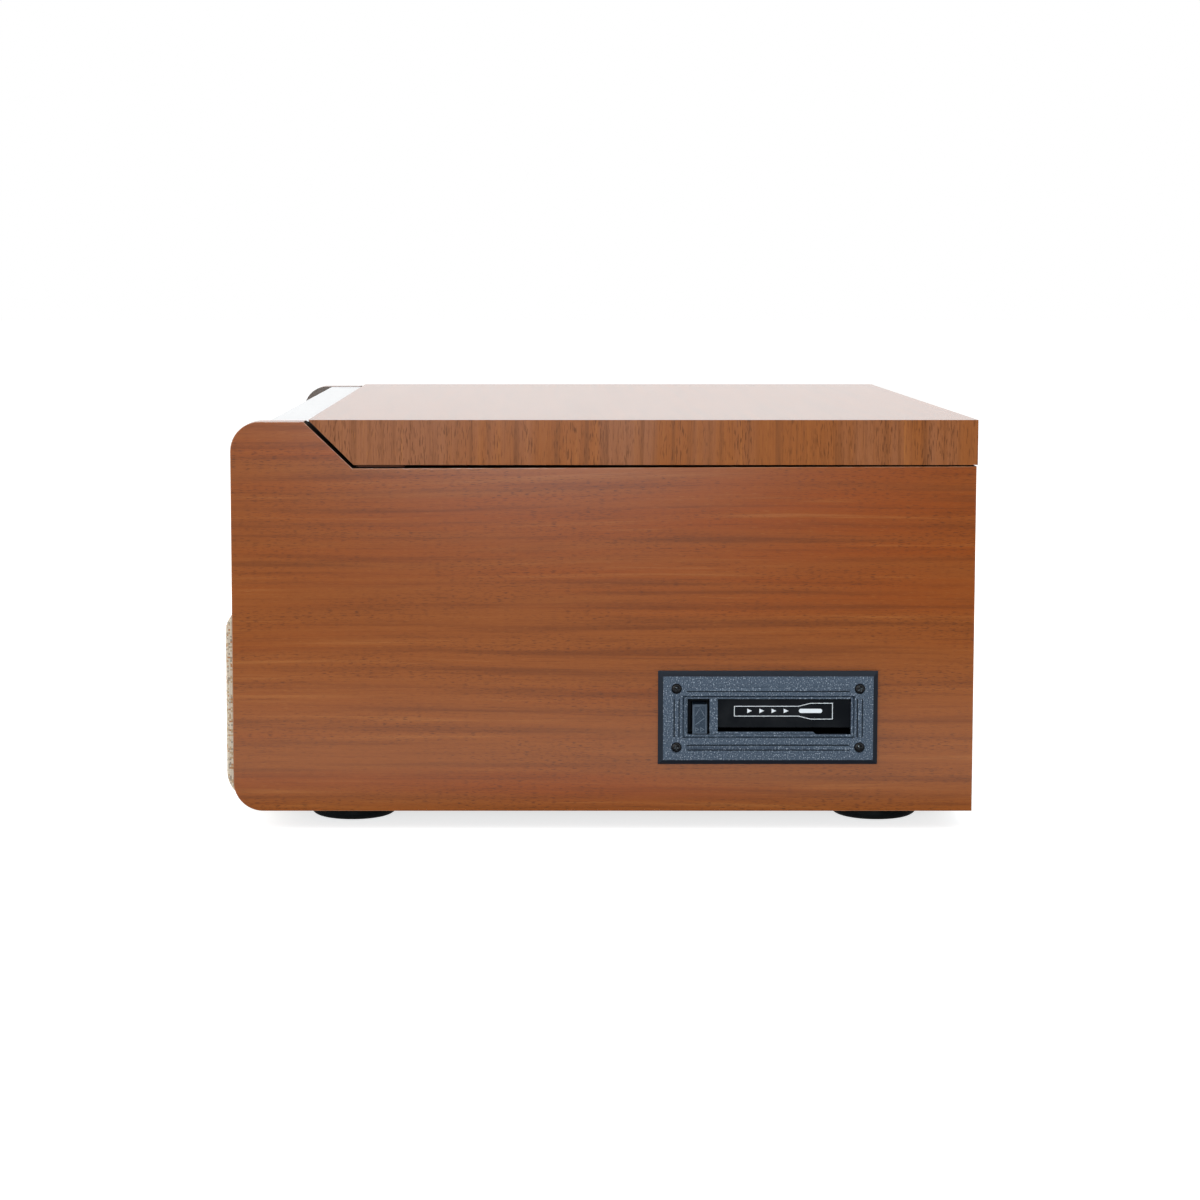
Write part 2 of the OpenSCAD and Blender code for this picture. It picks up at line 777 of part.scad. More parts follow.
// Record spindle on a shaft that ends in a collar just under the record
module platter_spindle() color("lightgray") translate([spindle_x, spindle_y, 0]) {
  translate([0, 0, deck_z - bush_l]) cylinder(r = shaft_r, h = collar_z - deck_z + bush_l);
  translate([0, 0, collar_z - eps]) cylinder(r = spindle_r, h = spindle_top - 3 - collar_z + eps);
  translate([0, 0, spindle_top - 3]) cylinder(r1 = spindle_r, r2 = spindle_r - 1.8, h = 3);
}

// Loop round the belt ring and the pulley at the given clearance
module belt_loop(gap) hull() {
  translate([spindle_x, spindle_y]) circle(belt_ring_r + gap, $fn = 120);
  translate([pulley_x, pulley_y]) circle(pulley_r + gap, $fn = 40);
}

module drive_belt() color("black") translate([0, 0, belt_z]) linear_extrude(belt_h) difference() {
  belt_loop(slip + belt_t);
  belt_loop(slip);
}

module drive_motor() color("silver") translate([pulley_x, pulley_y, 0]) difference() {
  union() {
    translate([0, 0, deck_z - deck_t - motor_h]) cylinder(r = motor_r, h = motor_h);
    for (x = [-1, 1]) translate([x * (motor_r + 1), 0, deck_z - deck_t - 2]) cylinder(r = 5, h = 2);
  }
  translate([0, 0, deck_z - deck_t - motor_h + 4]) cylinder(r = motor_shaft_r + run, h = motor_h);
}

module motor_pulley() color("goldenrod") translate([pulley_x, pulley_y, 0]) {
  translate([0, 0, belt_z - 1.2]) cylinder(r = pulley_r + 1.2, h = 1);
  translate([0, 0, belt_z - 0.2]) cylinder(r = pulley_r, h = belt_h + 0.4);
  translate([0, 0, belt_z + belt_h + 0.2]) cylinder(r = pulley_r + 1.2, h = 0.4);
  translate([0, 0, deck_z - deck_t - motor_h + 5])
    cylinder(r = motor_shaft_r, h = belt_z - 1 - deck_z + deck_t + motor_h - 5);
}

// Tonearm

module tonearm_base() color("dimgray") difference() {
  union() {
    translate([arm_x, arm_y, deck_z]) cylinder(r = turret_r, h = base_h);
    block([rod_x0 - 6, lever_y - 6, deck_z], [lever_x - 3, arm_y, deck_z + 3]);
    translate([rod_x0, rod_y0, deck_z]) cylinder(r = 5.5, h = base_h + 2);
    block([lever_x - 12, lever_y - 6, deck_z], [lever_x - 3, lever_y + 6, lever_z + 5]);
  }
  translate([arm_x, arm_y, deck_z + 2]) cylinder(r = swing_shaft_r + run, h = base_h);
  translate([rod_x0, rod_y0, deck_z + 1]) cylinder(r = rod_r + run, h = base_h + 2);
  rod_x([lever_x - 13, lever_y, lever_z], rod_r + run, 11);
}

module tonearm_yoke() color("silver") translate([arm_x, arm_y, 0]) difference() {
  union() {
    translate([0, 0, deck_z + 3]) cylinder(r = swing_shaft_r, h = base_h - 2);
    translate([0, 0, deck_z + base_h + slip]) cylinder(r = turret_r - 2, h = 3);
    for (x = [-ear_in - ear_t, ear_in])
      block([x, -5, deck_z + base_h + 2], [x + ear_t, 5, arm_z + 4]);
  }
  rod_x([-turret_r, 0, arm_z], pivot_r + run, 2 * turret_r);
}

module tonearm_tube() color("silver") translate([arm_x, arm_y, arm_z]) {
  rod_y([0, -arm_l, 0], arm_r, arm_l - 7);
  block([-ear_in + slip, -8, -5], [ear_in - slip, 8, 5]);
  rod_y([0, 7, 0], stub_r, weight_in + weight_l - 5);
  rod_x([-ear_in - ear_t, 0, 0], pivot_r, 2 * (ear_in + ear_t));
}

module counterweight() color("dimgray") translate([arm_x, arm_y + weight_in, arm_z]) difference() {
  rod_y([0, 0, 0], weight_r, weight_l);
  rod_y([0, -eps, 0], stub_r, weight_l + 2 * eps);
}

// Frame of the headshell: the origin at the tube's end, -y out along the shell
module on_head() translate([arm_x, arm_y - arm_l, arm_z]) rotate([0, 0, -head_angle]) children();

module headshell() color("dimgray") difference() {
  on_head() {
    rod_y([0, -9, 0], arm_r + 1, 12);
    translate([0, 0, -1]) linear_extrude(head_t) polygon([
      [-4, -6], [-head_w / 2, -15], [-head_w / 2, -head_l - 7], [-head_w / 2 + 3, -head_l - 10],
      [head_w / 2 - 3, -head_l - 10], [head_w / 2, -head_l - 7], [head_w / 2, -15], [4, -6]
    ]);
    block([head_w / 2 - 1, -head_l - 5, 1], [head_w / 2 + 10, -head_l - 2, 2.4]);
  }
  translate([arm_x - 20, arm_y - arm_l, arm_z - 10]) cube([40, 20, 20]);
}

module cartridge() color("firebrick") on_head() {
  block([-cart_w / 2, -head_l - 7, -1 - cart_h], [cart_w / 2, -head_l - 7 + cart_l, -1]);
  block([-2.5, -head_l - 5, -2.5 - cart_h], [2.5, -head_l + 7, -1 - cart_h]);
  translate([0, -head_l, tip_z - arm_z]) cylinder(r = 0.5, h = arm_z - 2 - cart_h - tip_z);
}

module arm_rest() color("dimgray") difference() {
  union() {
    translate([arm_x + 2, rest_y, deck_z]) cylinder(r = 4.5, h = arm_rise - arm_r - slip - 1);
    block([arm_x - 4, rest_y - 4.5, rest_z - 3], [arm_x + 12, rest_y + 4.5, rest_z]);
    block([arm_x + arm_r + slip, rest_y - 4.5, rest_z - 3],
          [arm_x + arm_r + slip + 3, rest_y + 4.5, arm_z + 2]);
    translate([clip_x, rest_y, rest_z - 3]) cylinder(r = 4.5, h = clip_z - rest_z + 3 - slip);
  }
  translate([clip_x, rest_y, rest_z - 1]) cylinder(r = rod_r + run, h = 30);
}

module arm_clip() color("gray") translate([clip_x, rest_y, 0]) {
  translate([0, 0, rest_z]) cylinder(r = rod_r, h = clip_z - rest_z + 1);
  translate([0, 0, clip_z]) cylinder(r = 4.5, h = 1.6);
  block([-2.5, 0, clip_z], [2.5, 21, clip_z + 1.6]);
}

module cue_lever() color("silver") {
  rod_x([lever_x - 12.5, lever_y, lever_z], rod_r, 13);
  block([lever_x, lever_y - 24, lever_z - 1.5], [lever_x + 4, lever_y, lever_z + 1.5]);
  rod_x([lever_x, lever_y, lever_z], 4, 4);
  rod_x([lever_x - 1, lever_y - 26, lever_z], 3, 6);
}

module cue_lift_bar() color("silver") {
  translate([rod_x0, rod_y0, deck_z + 3]) cylinder(r = rod_r, h = rest_z - 1 - deck_z - 3);
  translate([arm_x, arm_y, rest_z - 2]) rotate([0, 0, 220]) rotate_extrude(angle = 60)
    translate([lift_r - 2.5, 0]) square([5, 2]);
}

// Speakers, boards and supply

module speaker_baskets() color("dimgray") both_sides()
  translate([speaker_x, grille_back + baffle_t, speaker_z]) rotate([-90, 0, 0]) rotate_extrude() polygon([
    [speaker_r + 2, 0], [speaker_r + speaker_rim, 0], [speaker_r + speaker_rim, 2],
    [speaker_r + 4.5, 2], [magnet_r, magnet_z], [magnet_r, magnet_z + magnet_l],
    [0, magnet_z + magnet_l], [0, magnet_z - 0.5], [magnet_r - 3.5, magnet_z - 0.5],
    [speaker_r, 1], [speaker_r + 2, 1]
  ]);

module speaker_cones() color("black") both_sides()
  translate([speaker_x, grille_back + baffle_t, speaker_z]) rotate([-90, 0, 0]) rotate_extrude() polygon([
    [speaker_r + 1.4, 0.2], [speaker_r + 1.4, 1], [speaker_r, 1], [speaker_r - 0.8, 1.4],
    [10.4, magnet_z - 3], [0, magnet_z - 3], [0, magnet_z - 7.5], [5, magnet_z - 6.7],
    [9, magnet_z - 4.6], [speaker_r - 1.5, 0.2]
  ]);

module control_board() color("darkgreen") difference() {
  union() {
    on_face(0, 0) translate([0, 0, -board_gap - board_t]) {
      block([-board_x, board_low, 0], [board_x, board_top, board_t]);
      both_sides() block([wing_x, wing_low, 0], [board_x, board_low + 1, board_t]);
    }
    for (x = [post_in - board_x, board_x - post_in]) for (s = [board_low + post_in, board_top - post_in])
      on_face(x, s) translate([0, 0, -board_gap - 0.5])
        cylinder(r = post_r, h = board_gap - fascia_t + 0.5);
    for (x = [-knob_x, knob_x])
      on_face(x, dial_s) translate([0, 0, -board_gap - 0.5])
        cylinder(r = pot_r, h = board_gap - pot_top + 0.5);
    for (x = button_xs) on_face(x, button_s)
      block([-3, -3, -board_gap - 0.5], [3, 3, -button_tail - button_travel - 0.4]);
  }
  for (x = [-knob_x, knob_x])
    on_face(x, dial_s) translate([0, 0, -pot_top - 5.4]) cylinder(r = stem_r + run, h = 5.4 + eps);
}

// Board on posts, with two capacitors, a heat sink, a chip and a relay
module main_board() color("darkgreen") translate([main_x, main_y, base_t]) {
  top = main_rise + board_t - 0.6;
  sink_x = main_w - 60;
  sink_y = main_d - 30;
  block([0, 0, main_rise], [main_w, main_d, main_rise + board_t]);
  for (x = [post_in, main_w - post_in]) for (y = [post_in, main_d - post_in])
    translate([x, y, 0]) cylinder(r = post_r, h = main_rise + 0.5);
  for (x = [2.5 * cap_r, 5.5 * cap_r]) translate([x, 2.75 * cap_r, top]) cylinder(r = cap_r, h = cap_h);
  for (i = [0 : 4])
    block([sink_x + fin_pitch * i, sink_y, top], [sink_x + fin_pitch * i + 3, main_d - 6, top + fin_h]);
  block([sink_x - 2, sink_y + 10, top], [sink_x + 4 * fin_pitch + 5, sink_y + 14, top + fin_h - 2]);
  block([sink_x + 6, 16, top], [sink_x + 34, 36, top + 3]);
  block([18, sink_y - 4, top], [46, sink_y + 14, top + 11]);
}

// Core on a foot plate, with its coil across the middle
module power_transformer() color("dimgray") translate([core_x, core_y, base_t]) {
  block([-core_w / 2 - 9, -core_d / 2 - 2, 0], [core_w / 2 + 9, core_d / 2 + 2, 2]);
  block([-core_w / 2, -core_d / 2, 0], [core_w / 2, core_d / 2, core_h]);
  block([-coil_w / 2, -coil_d / 2, 5], [coil_w / 2, coil_d / 2, core_h - 5]);
}

// Disc drawer

module disc_chassis() color("gray") {
  block([-rail_x, chassis_y, tray_z - 10], [rail_x, chassis_y + chassis_l, tray_z - 7]);
  both_sides() {
    block([tray_w / 2 + slip, chassis_y, tray_z - 8], [rail_x, chassis_y + chassis_l, tray_z + 10]);
    block([tray_w / 2 - 4, chassis_y, tray_z - 8], [rail_x, chassis_y + chassis_l, tray_z - slip]);
    for (y = [chassis_y + 8, chassis_y + chassis_l - 8])
      translate([rail_x - 8, y, base_t]) cylinder(r = 4, h = tray_z - 9 - base_t);
  }
  block([-rail_x, disc_y - 15, tray_z + 10], [rail_x, disc_y + 15, tray_z + 13]);
  translate([0, disc_y, tray_z + tray_t + 2.5]) cylinder(r = 14, h = 4);
  translate([0, disc_y, tray_z - 8]) cylinder(r = 12, h = 7.6);
}

// Front of the drawer, flush with the sloping fascia but for a small step
module drawer_section() {
  low_y = fascia_foot + (drawer_z - face_z) * tan(face_a) - 0.6;
  top_y = low_y + drawer_h * tan(face_a);
  high = drawer_z + drawer_h;
  polygon([[low_y, drawer_z], [top_y, high], [tray_y, high], [tray_y, drawer_z]]);
}

module disc_drawer() color("gainsboro") {
  along_x(-drawer_w / 2, drawer_w) drawer_section();
  difference() {
    block([-tray_w / 2, tray_y - 1, tray_z], [tray_w / 2, tray_y + drawer_l, tray_z + tray_t]);
    translate([0, disc_y, tray_z + tray_t - 1.8]) cylinder(r = disc_r, h = 3);
    translate([0, disc_y, tray_z + tray_t - 2.6]) cylinder(r = 41, h = 3);
    block([-17, disc_y - 17, tray_z - eps], [17, tray_y + drawer_l - 8, tray_z + tray_t + eps]);
  }
}

// Dial, knobs, buttons and sockets

module dial_scale() color("ivory") on_face(0, dial_s) {
  block([-dial_w / 2 - 7, -dial_h / 2 - 3, -scale_gap - scale_t],
        [dial_w / 2 + 7, dial_h / 2 + 4, -scale_gap]);
  for (x = [-1, 1]) for (y = [-1, 1])
    translate([x * (dial_w / 2 + 4), y * 20, -scale_gap - 0.5])
      cylinder(r = 2.5, h = scale_gap - fascia_t + 0.5);
}

module dial_pointer() color("red") on_face(0, dial_s) {
  block([-0.7, -dial_h / 2 + 3, -scale_gap + 0.6], [0.7, dial_h / 2 + 5, -scale_gap + 1.4]);
  block([-4, dial_h / 2 + 4.3, -scale_gap - scale_t - 1.1], [4, dial_h / 2 + 5.8, -scale_gap + 1.4]);
  block([-4, dial_h / 2, -scale_gap - scale_t - 1.1], [4, dial_h / 2 + 5, -scale_gap - scale_t - slip]);
}

module dial_glass() color("lightcyan", 0.4) on_face(0, dial_s)
  block([-dial_w / 2 + 0.1, -dial_h / 2 + 0.1, -0.2 - glass_t],
        [dial_w / 2 - 0.1, dial_h / 2 - 0.1, -0.2]);

// Knob with a skirt, a stem into its control and a groove that shows its angle
module knob(x) on_face(x, dial_s) {
  difference() {
    rotate_extrude() polygon([
      [0, 0.4], [knob_r, 0.4], [knob_r, 2.4], [knob_r - 1.4, 3], [knob_r - 2.6, knob_h - 1],
      [knob_r - 3.6, knob_h], [0, knob_h]
    ]);
    block([-0.8, 7, knob_h - 0.8], [0.8, knob_r, knob_h + eps]);
  }
  translate([0, 0, -pot_top - 4.5]) cylinder(r = stem_r, h = pot_top + 6);
}

module volume_knob() color("gold") knob(-knob_x);

module tuning_knob() color("gold") knob(knob_x);

// Push button with a flange behind the fascia
module button(i) on_face(button_xs[i], button_s) {
  translate([0, 0, -button_tail]) cylinder(r = button_r, h = button_tail + button_h - 0.6);
  translate([0, 0, button_h - 0.6]) cylinder(r1 = button_r, r2 = button_r - 0.6, h = 0.6);
  translate([0, 0, -fascia_t - slip - flange_t]) cylinder(r = flange_r, h = flange_t);
}

module previous_button() color("gold") button(0);

module play_button() color("gold") button(1);

module stop_button() color("gold") button(2);

module next_button() color("gold") button(3);

module front_sockets() color("gray") {
  on_face(jack_x, button_s) difference() {
    union() {
      translate([0, 0, -jack_l]) cylinder(r = jack_r, h = jack_l);
      cylinder(r = jack_r + 1.6, h = 0.8);
    }
    translate([0, 0, 0.8 - jack_bore_l]) cylinder(r = jack_bore_r, h = jack_bore_l + eps);
  }
  on_face(usb_x, button_s) {
    difference() {
      block([-usb_w / 2, -usb_h / 2, -14], [usb_w / 2, usb_h / 2, 0.4]);
      block([-usb_w / 2 + 0.8, -usb_h / 2 + 0.8, -12], [usb_w / 2 - 0.8, usb_h / 2 - 0.8, eps]);
    }
    block([-usb_w / 2 + 1.6, 0.4, -13], [usb_w / 2 - 1.6, 2.2, -1]);
  }
}

module rear_sockets() color("gray") {
  difference() {
    union() {
      block([socket_win[0] + 0.2, back_y - 6, socket_win[1] + 0.2],
            [socket_win[0] + socket_win[2] - 0.2, cabinet_d + 0.5, socket_win[1] + socket_win[3] - 0.2]);
      block([socket_win[0] - 5, cabinet_d, socket_win[1] - 5],
            [socket_win[0] + socket_win[2] + 5, cabinet_d + phono_plate_t,
             socket_win[1] + socket_win[3] + 5]);
      for (i = [0 : 3]) rod_y(phono(i), phono_r, phono_plate_t + phono_l);
    }
    for (i = [0 : 3]) rod_y(phono(i), 1.6, phono_plate_t + phono_l + eps);
  }
  translate([inlet_win[0] + inlet_win[2] / 2, 0, inlet_win[1] + inlet_win[3] / 2]) {
    difference() {
      union() {
        block([-12, back_y - 14, -8], [12, cabinet_d, 8]);
        block([-16, back_y - 2, -12], [16, back_y, 12]);
      }
      for (x = [-4, 4]) rod_y([x, cabinet_d - 12, 0], 4.2, 13);
      block([-4, cabinet_d - 12, -3], [4, cabinet_d + eps, 3]);
    }
    for (x = [-4.3, 4.3]) rod_y([x, cabinet_d - 13, 0], 1.2, 11);
  }
}

// Tape deck

module tape_bezel() color("slategray") difference() {
  union() {
    intersection() {
      along_x(side_x, bezel_proud) translate([bezel_y, bezel_z]) square([bezel_w, bezel_h]);
      along_y(bezel_y, bezel_w) polygon([
        [side_x, bezel_z], [side_x + bezel_proud - bezel_slope, bezel_z],
        [side_x + bezel_proud, bezel_z + bezel_slope], [side_x + bezel_proud, bezel_z2 - bezel_slope],
        [side_x + bezel_proud - bezel_slope, bezel_z2], [side_x, bezel_z2]
      ]);
      translate([0, 0, bezel_z]) linear_extrude(bezel_h) polygon([
        [side_x, bezel_y], [side_x + bezel_proud - bezel_slope, bezel_y],
        [side_x + bezel_proud, bezel_y + bezel_slope], [side_x + bezel_proud, bezel_y2 - bezel_slope],
        [side_x + bezel_proud - bezel_slope, bezel_y2], [side_x, bezel_y2]
      ]);
    }
    block([chassis_x, well_y, well_z - 1.2], [side_x + 1, well_y2, well_z2 + 1.2]);
    for (z = [tape_z1, tape_z2])
      block([side_x + 1, tape_y1 + 5, z - 0.9], [side_x + bezel_proud + 0.5, tape_y2 - 5, z + 0.9]);
    for (y = [tape_y1, tape_y2])
      block([side_x + 1, y - 0.9, tape_z1 + 5], [side_x + bezel_proud + 0.5, y + 0.9, tape_z2 - 5]);
  }
  block([well_floor_x, well_y, well_z], [side_x + 20, well_y2, well_z2]);
  block([chassis_x - eps, slot_y, slot_z], [side_x + 20, slot_y2, slot_z2]);
  along_x(chassis_x - eps, 20) polygon([
    [slot_step_y - slot_slant, slot_z], [slot_step_y, slot_step_z], [slot_y2, slot_step_z],
    [slot_y2, slot_z + 1], [slot_step_y - slot_slant, slot_z + 1]
  ]);
  block([chassis_x - eps, key_win_y, key_win_z], [side_x + 20, key_win_y2, key_win_z2]);
  for (p = tape_screw_points) {
    rod_x([side_x - eps, p[0], p[1]], tape_screw_r + run, 20);
    rod_x([tape_head_x, p[0], p[1]], tape_head_r + 0.2, 20);
  }
}

module tape_screws() color("black") for (p = tape_screw_points) difference() {
  union() {
    rod_x([inner_x + 4, p[0], p[1]], tape_screw_r, tape_head_x - inner_x - 3.5);
    rod_x([tape_head_x, p[0], p[1]], tape_head_r, 1.4);
  }
  block([tape_head_x + 0.6, p[0] - 1.5, p[1] - 0.4], [tape_head_x + 3, p[0] + 1.5, p[1] + 0.4]);
  block([tape_head_x + 0.6, p[0] - 0.4, p[1] - 1.5], [tape_head_x + 3, p[0] + 0.4, p[1] + 1.5]);
}

module tape_chassis() color("dimgray") difference() {
  union() {
    block([chassis_x - tape_l, well_y, bay_z - tape_wall],
          [chassis_x, bay_y2 + tape_wall, bay_z2 + tape_wall]);
    translate([chassis_x - 94, bay_y2 - 24, base_t + 2])
      cylinder(r = 14, h = bay_z - tape_wall - base_t - 1);
  }
  block([chassis_x - bay_l, bay_y, bay_z], [chassis_x + eps, bay_y2, bay_z2]);
  block([chassis_x - 6, key_win_y, key_win_z], [chassis_x + eps, key_win_y2, key_win_z2]);
  block([key_face_x - key_l - key_travel - 2, key_y - slip, key_z - slip],
        [chassis_x, key_y2 + slip, key_z2 + slip]);
  rod_x_flap(flap_pin_r + run, bay_y - 2, bay_y2 - bay_y + 3.2);
}

// A cylinder along the flap's hinge line, from y to y + l
module rod_x_flap(r, y, l) rod_y([flap_x + flap_t / 2, y, flap_axis_z], r, l);

module tape_flap() color("black") {
  block([flap_x, slot_y, flap_low], [flap_x + flap_t, slot_y2, flap_axis_z]);
  rod_x_flap(flap_roll_r, slot_y, slot_w);
  rod_x_flap(flap_pin_r, slot_y - 2, slot_w + 3.2);
}

module tape_key() color("slategray") {
  block([key_face_x - key_l, key_y, key_z], [key_face_x - 0.8, key_y2, key_z2]);
  block([key_face_x - 1, key_y + 0.6, key_z + 0.6], [key_face_x, key_y2 - 0.6, key_z2 - 0.6]);
}

// The pieces, each in its place
place() left_side_panel();
place() right_side_panel();
place() base_panel();
place() back_panel();
place() speaker_baffle();
place() front_fascia();
place() grille_frame();
place() grille_cloth();
place() feet();
place() cabinet_screws();
place() hinge_cabinet_leaves();
place() hinge_pins();
place() lid_board();
place() lid_cheeks();
place() lid_back_rail();
place() hinge_lid_leaves();
place() lid_pads();
place() deck_plate();
place() platter_bearing();
place() drive_belt();
place() drive_motor();
place() tonearm_base();
place() arm_rest();
place() platter();
place() platter_mat();
place() platter_spindle();
place() motor_pulley();
place() tonearm_yoke();
place() tonearm_tube();
place() headshell();
place() cartridge();
place() counterweight();
place() arm_clip();
place() cue_lever();
place() cue_lift_bar();
place() speed_switch();
place() autostop_switch();
place() speaker_baskets();
place() speaker_cones();
place() control_board();
place() main_board();
place() power_transformer();
place() disc_chassis();
place() disc_drawer();
place() dial_scale();
place() dial_pointer();
place() dial_glass();
place() volume_knob();
place() tuning_knob();
place() previous_button();
place() play_button();
place() stop_button();
place() next_button();
place() tape_bezel();
place() tape_flap();
place() tape_key();
place() tape_screws();
place() tape_chassis();
place() front_sockets();
place() rear_sockets();
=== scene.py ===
"""Looks of a wooden record player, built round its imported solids.

Lengths are millimetres of the drawing: x from the middle, y from the side panels' front edge
and z from their lower edge. A finished piece is turned into metres of the shared frame.
"""

import logging
import math
from dataclasses import dataclass, field, replace
from enum import Enum
from typing import Callable, ClassVar, Iterable, Optional, Sequence, Union

import bmesh
import bpy
from mathutils import Matrix, Vector


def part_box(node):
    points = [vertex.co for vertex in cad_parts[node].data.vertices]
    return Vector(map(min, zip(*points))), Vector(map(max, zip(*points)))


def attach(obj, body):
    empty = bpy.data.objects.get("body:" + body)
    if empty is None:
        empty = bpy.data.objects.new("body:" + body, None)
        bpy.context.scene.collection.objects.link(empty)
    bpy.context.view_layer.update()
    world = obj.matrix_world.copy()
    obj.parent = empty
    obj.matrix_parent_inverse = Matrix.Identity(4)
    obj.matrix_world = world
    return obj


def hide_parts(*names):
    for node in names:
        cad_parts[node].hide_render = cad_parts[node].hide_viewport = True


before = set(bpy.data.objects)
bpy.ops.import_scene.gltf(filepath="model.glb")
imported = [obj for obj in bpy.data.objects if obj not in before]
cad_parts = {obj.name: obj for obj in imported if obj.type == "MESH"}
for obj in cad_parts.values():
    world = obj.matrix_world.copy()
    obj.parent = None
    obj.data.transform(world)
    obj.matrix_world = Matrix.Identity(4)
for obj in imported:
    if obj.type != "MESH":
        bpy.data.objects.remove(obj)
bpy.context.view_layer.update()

LOG = logging.getLogger("record_player")
MM = 0.001
PANEL_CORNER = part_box("right_side_panel")[0]
DRAWING = Matrix.Translation((0.0, PANEL_CORNER.y, PANEL_CORNER.z)) @ Matrix.Scale(MM, 4)

Colour = tuple[float, float, float]
Flat = tuple[float, float]
Place = Sequence[float]
Socket = bpy.types.NodeSocket
Piece = bpy.types.Object
Edge = bmesh.types.BMEdge
Face = bmesh.types.BMFace

# Points closer than these lengths are one point, and faces within this angle are one face.
MERGE = 0.002
FINE_MERGE = 0.0005
SAME_PLANE = math.radians(0.3)

# Frames that stand on the right side, on the back and along the y axis: in each of them z
# points away from the surface or along the axis.
ON_SIDE = Matrix(((0, 0, 1, 0), (1, 0, 0, 0), (0, 1, 0, 0), (0, 0, 0, 1)))
ON_BACK = Matrix(((-1, 0, 0, 0), (0, 0, 1, 0), (0, 1, 0, 0), (0, 0, 0, 1)))
ALONG_Y = Matrix.Rotation(math.radians(-90), 4, "X")


def link(thing: Piece) -> None:
    """Puts an object into the scene."""
    bpy.context.scene.collection.objects.link(thing)


def shift(x: float, y: float, z: float) -> Matrix:
    """A move by millimetres of the drawing."""
    return Matrix.Translation((x, y, z))


def span(node: str) -> tuple[Vector, Vector]:
    """Lowest and highest corner of a CAD node.

    Args:
        node: The node's name.

    Returns:
        Both corners, in millimetres of the drawing.
    """
    to_drawing = DRAWING.inverted()
    low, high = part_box(node)
    return to_drawing @ low, to_drawing @ high


def arc(centre: Flat, radii: Flat, start: float, end: float, steps: int = 8) -> list[Flat]:
    """Points on an arc of a circle or an ellipse.

    Args:
        centre: The arc's centre.
        radii: Its radius along each axis.
        start: Angle of the first point, in degrees.
        end: Angle of the last point, in degrees.
        steps: Number of stretches between the points.

    Returns:
        The points in order.
    """
    angles = [math.radians(start + (end - start) * i / steps) for i in range(steps + 1)]
    return [(centre[0] + radii[0] * math.cos(a), centre[1] + radii[1] * math.sin(a)) for a in angles]


def rounded(low: Flat, high: Flat, radius: float, steps: int = 6) -> list[Flat]:
    """Outline of a rectangle with round corners, anticlockwise.

    Args:
        low: The lower left corner.
        high: The upper right corner.
        radius: Radius of all four corners.
        steps: Number of stretches in one corner.

    Returns:
        The outline's points.
    """
    corners = [(high[0] - radius, high[1] - radius, 0), (low[0] + radius, high[1] - radius, 90),
               (low[0] + radius, low[1] + radius, 180), (high[0] - radius, low[1] + radius, 270)]
    return [p for x, y, a in corners for p in arc((x, y), (radius, radius), a, a + 90, steps)]


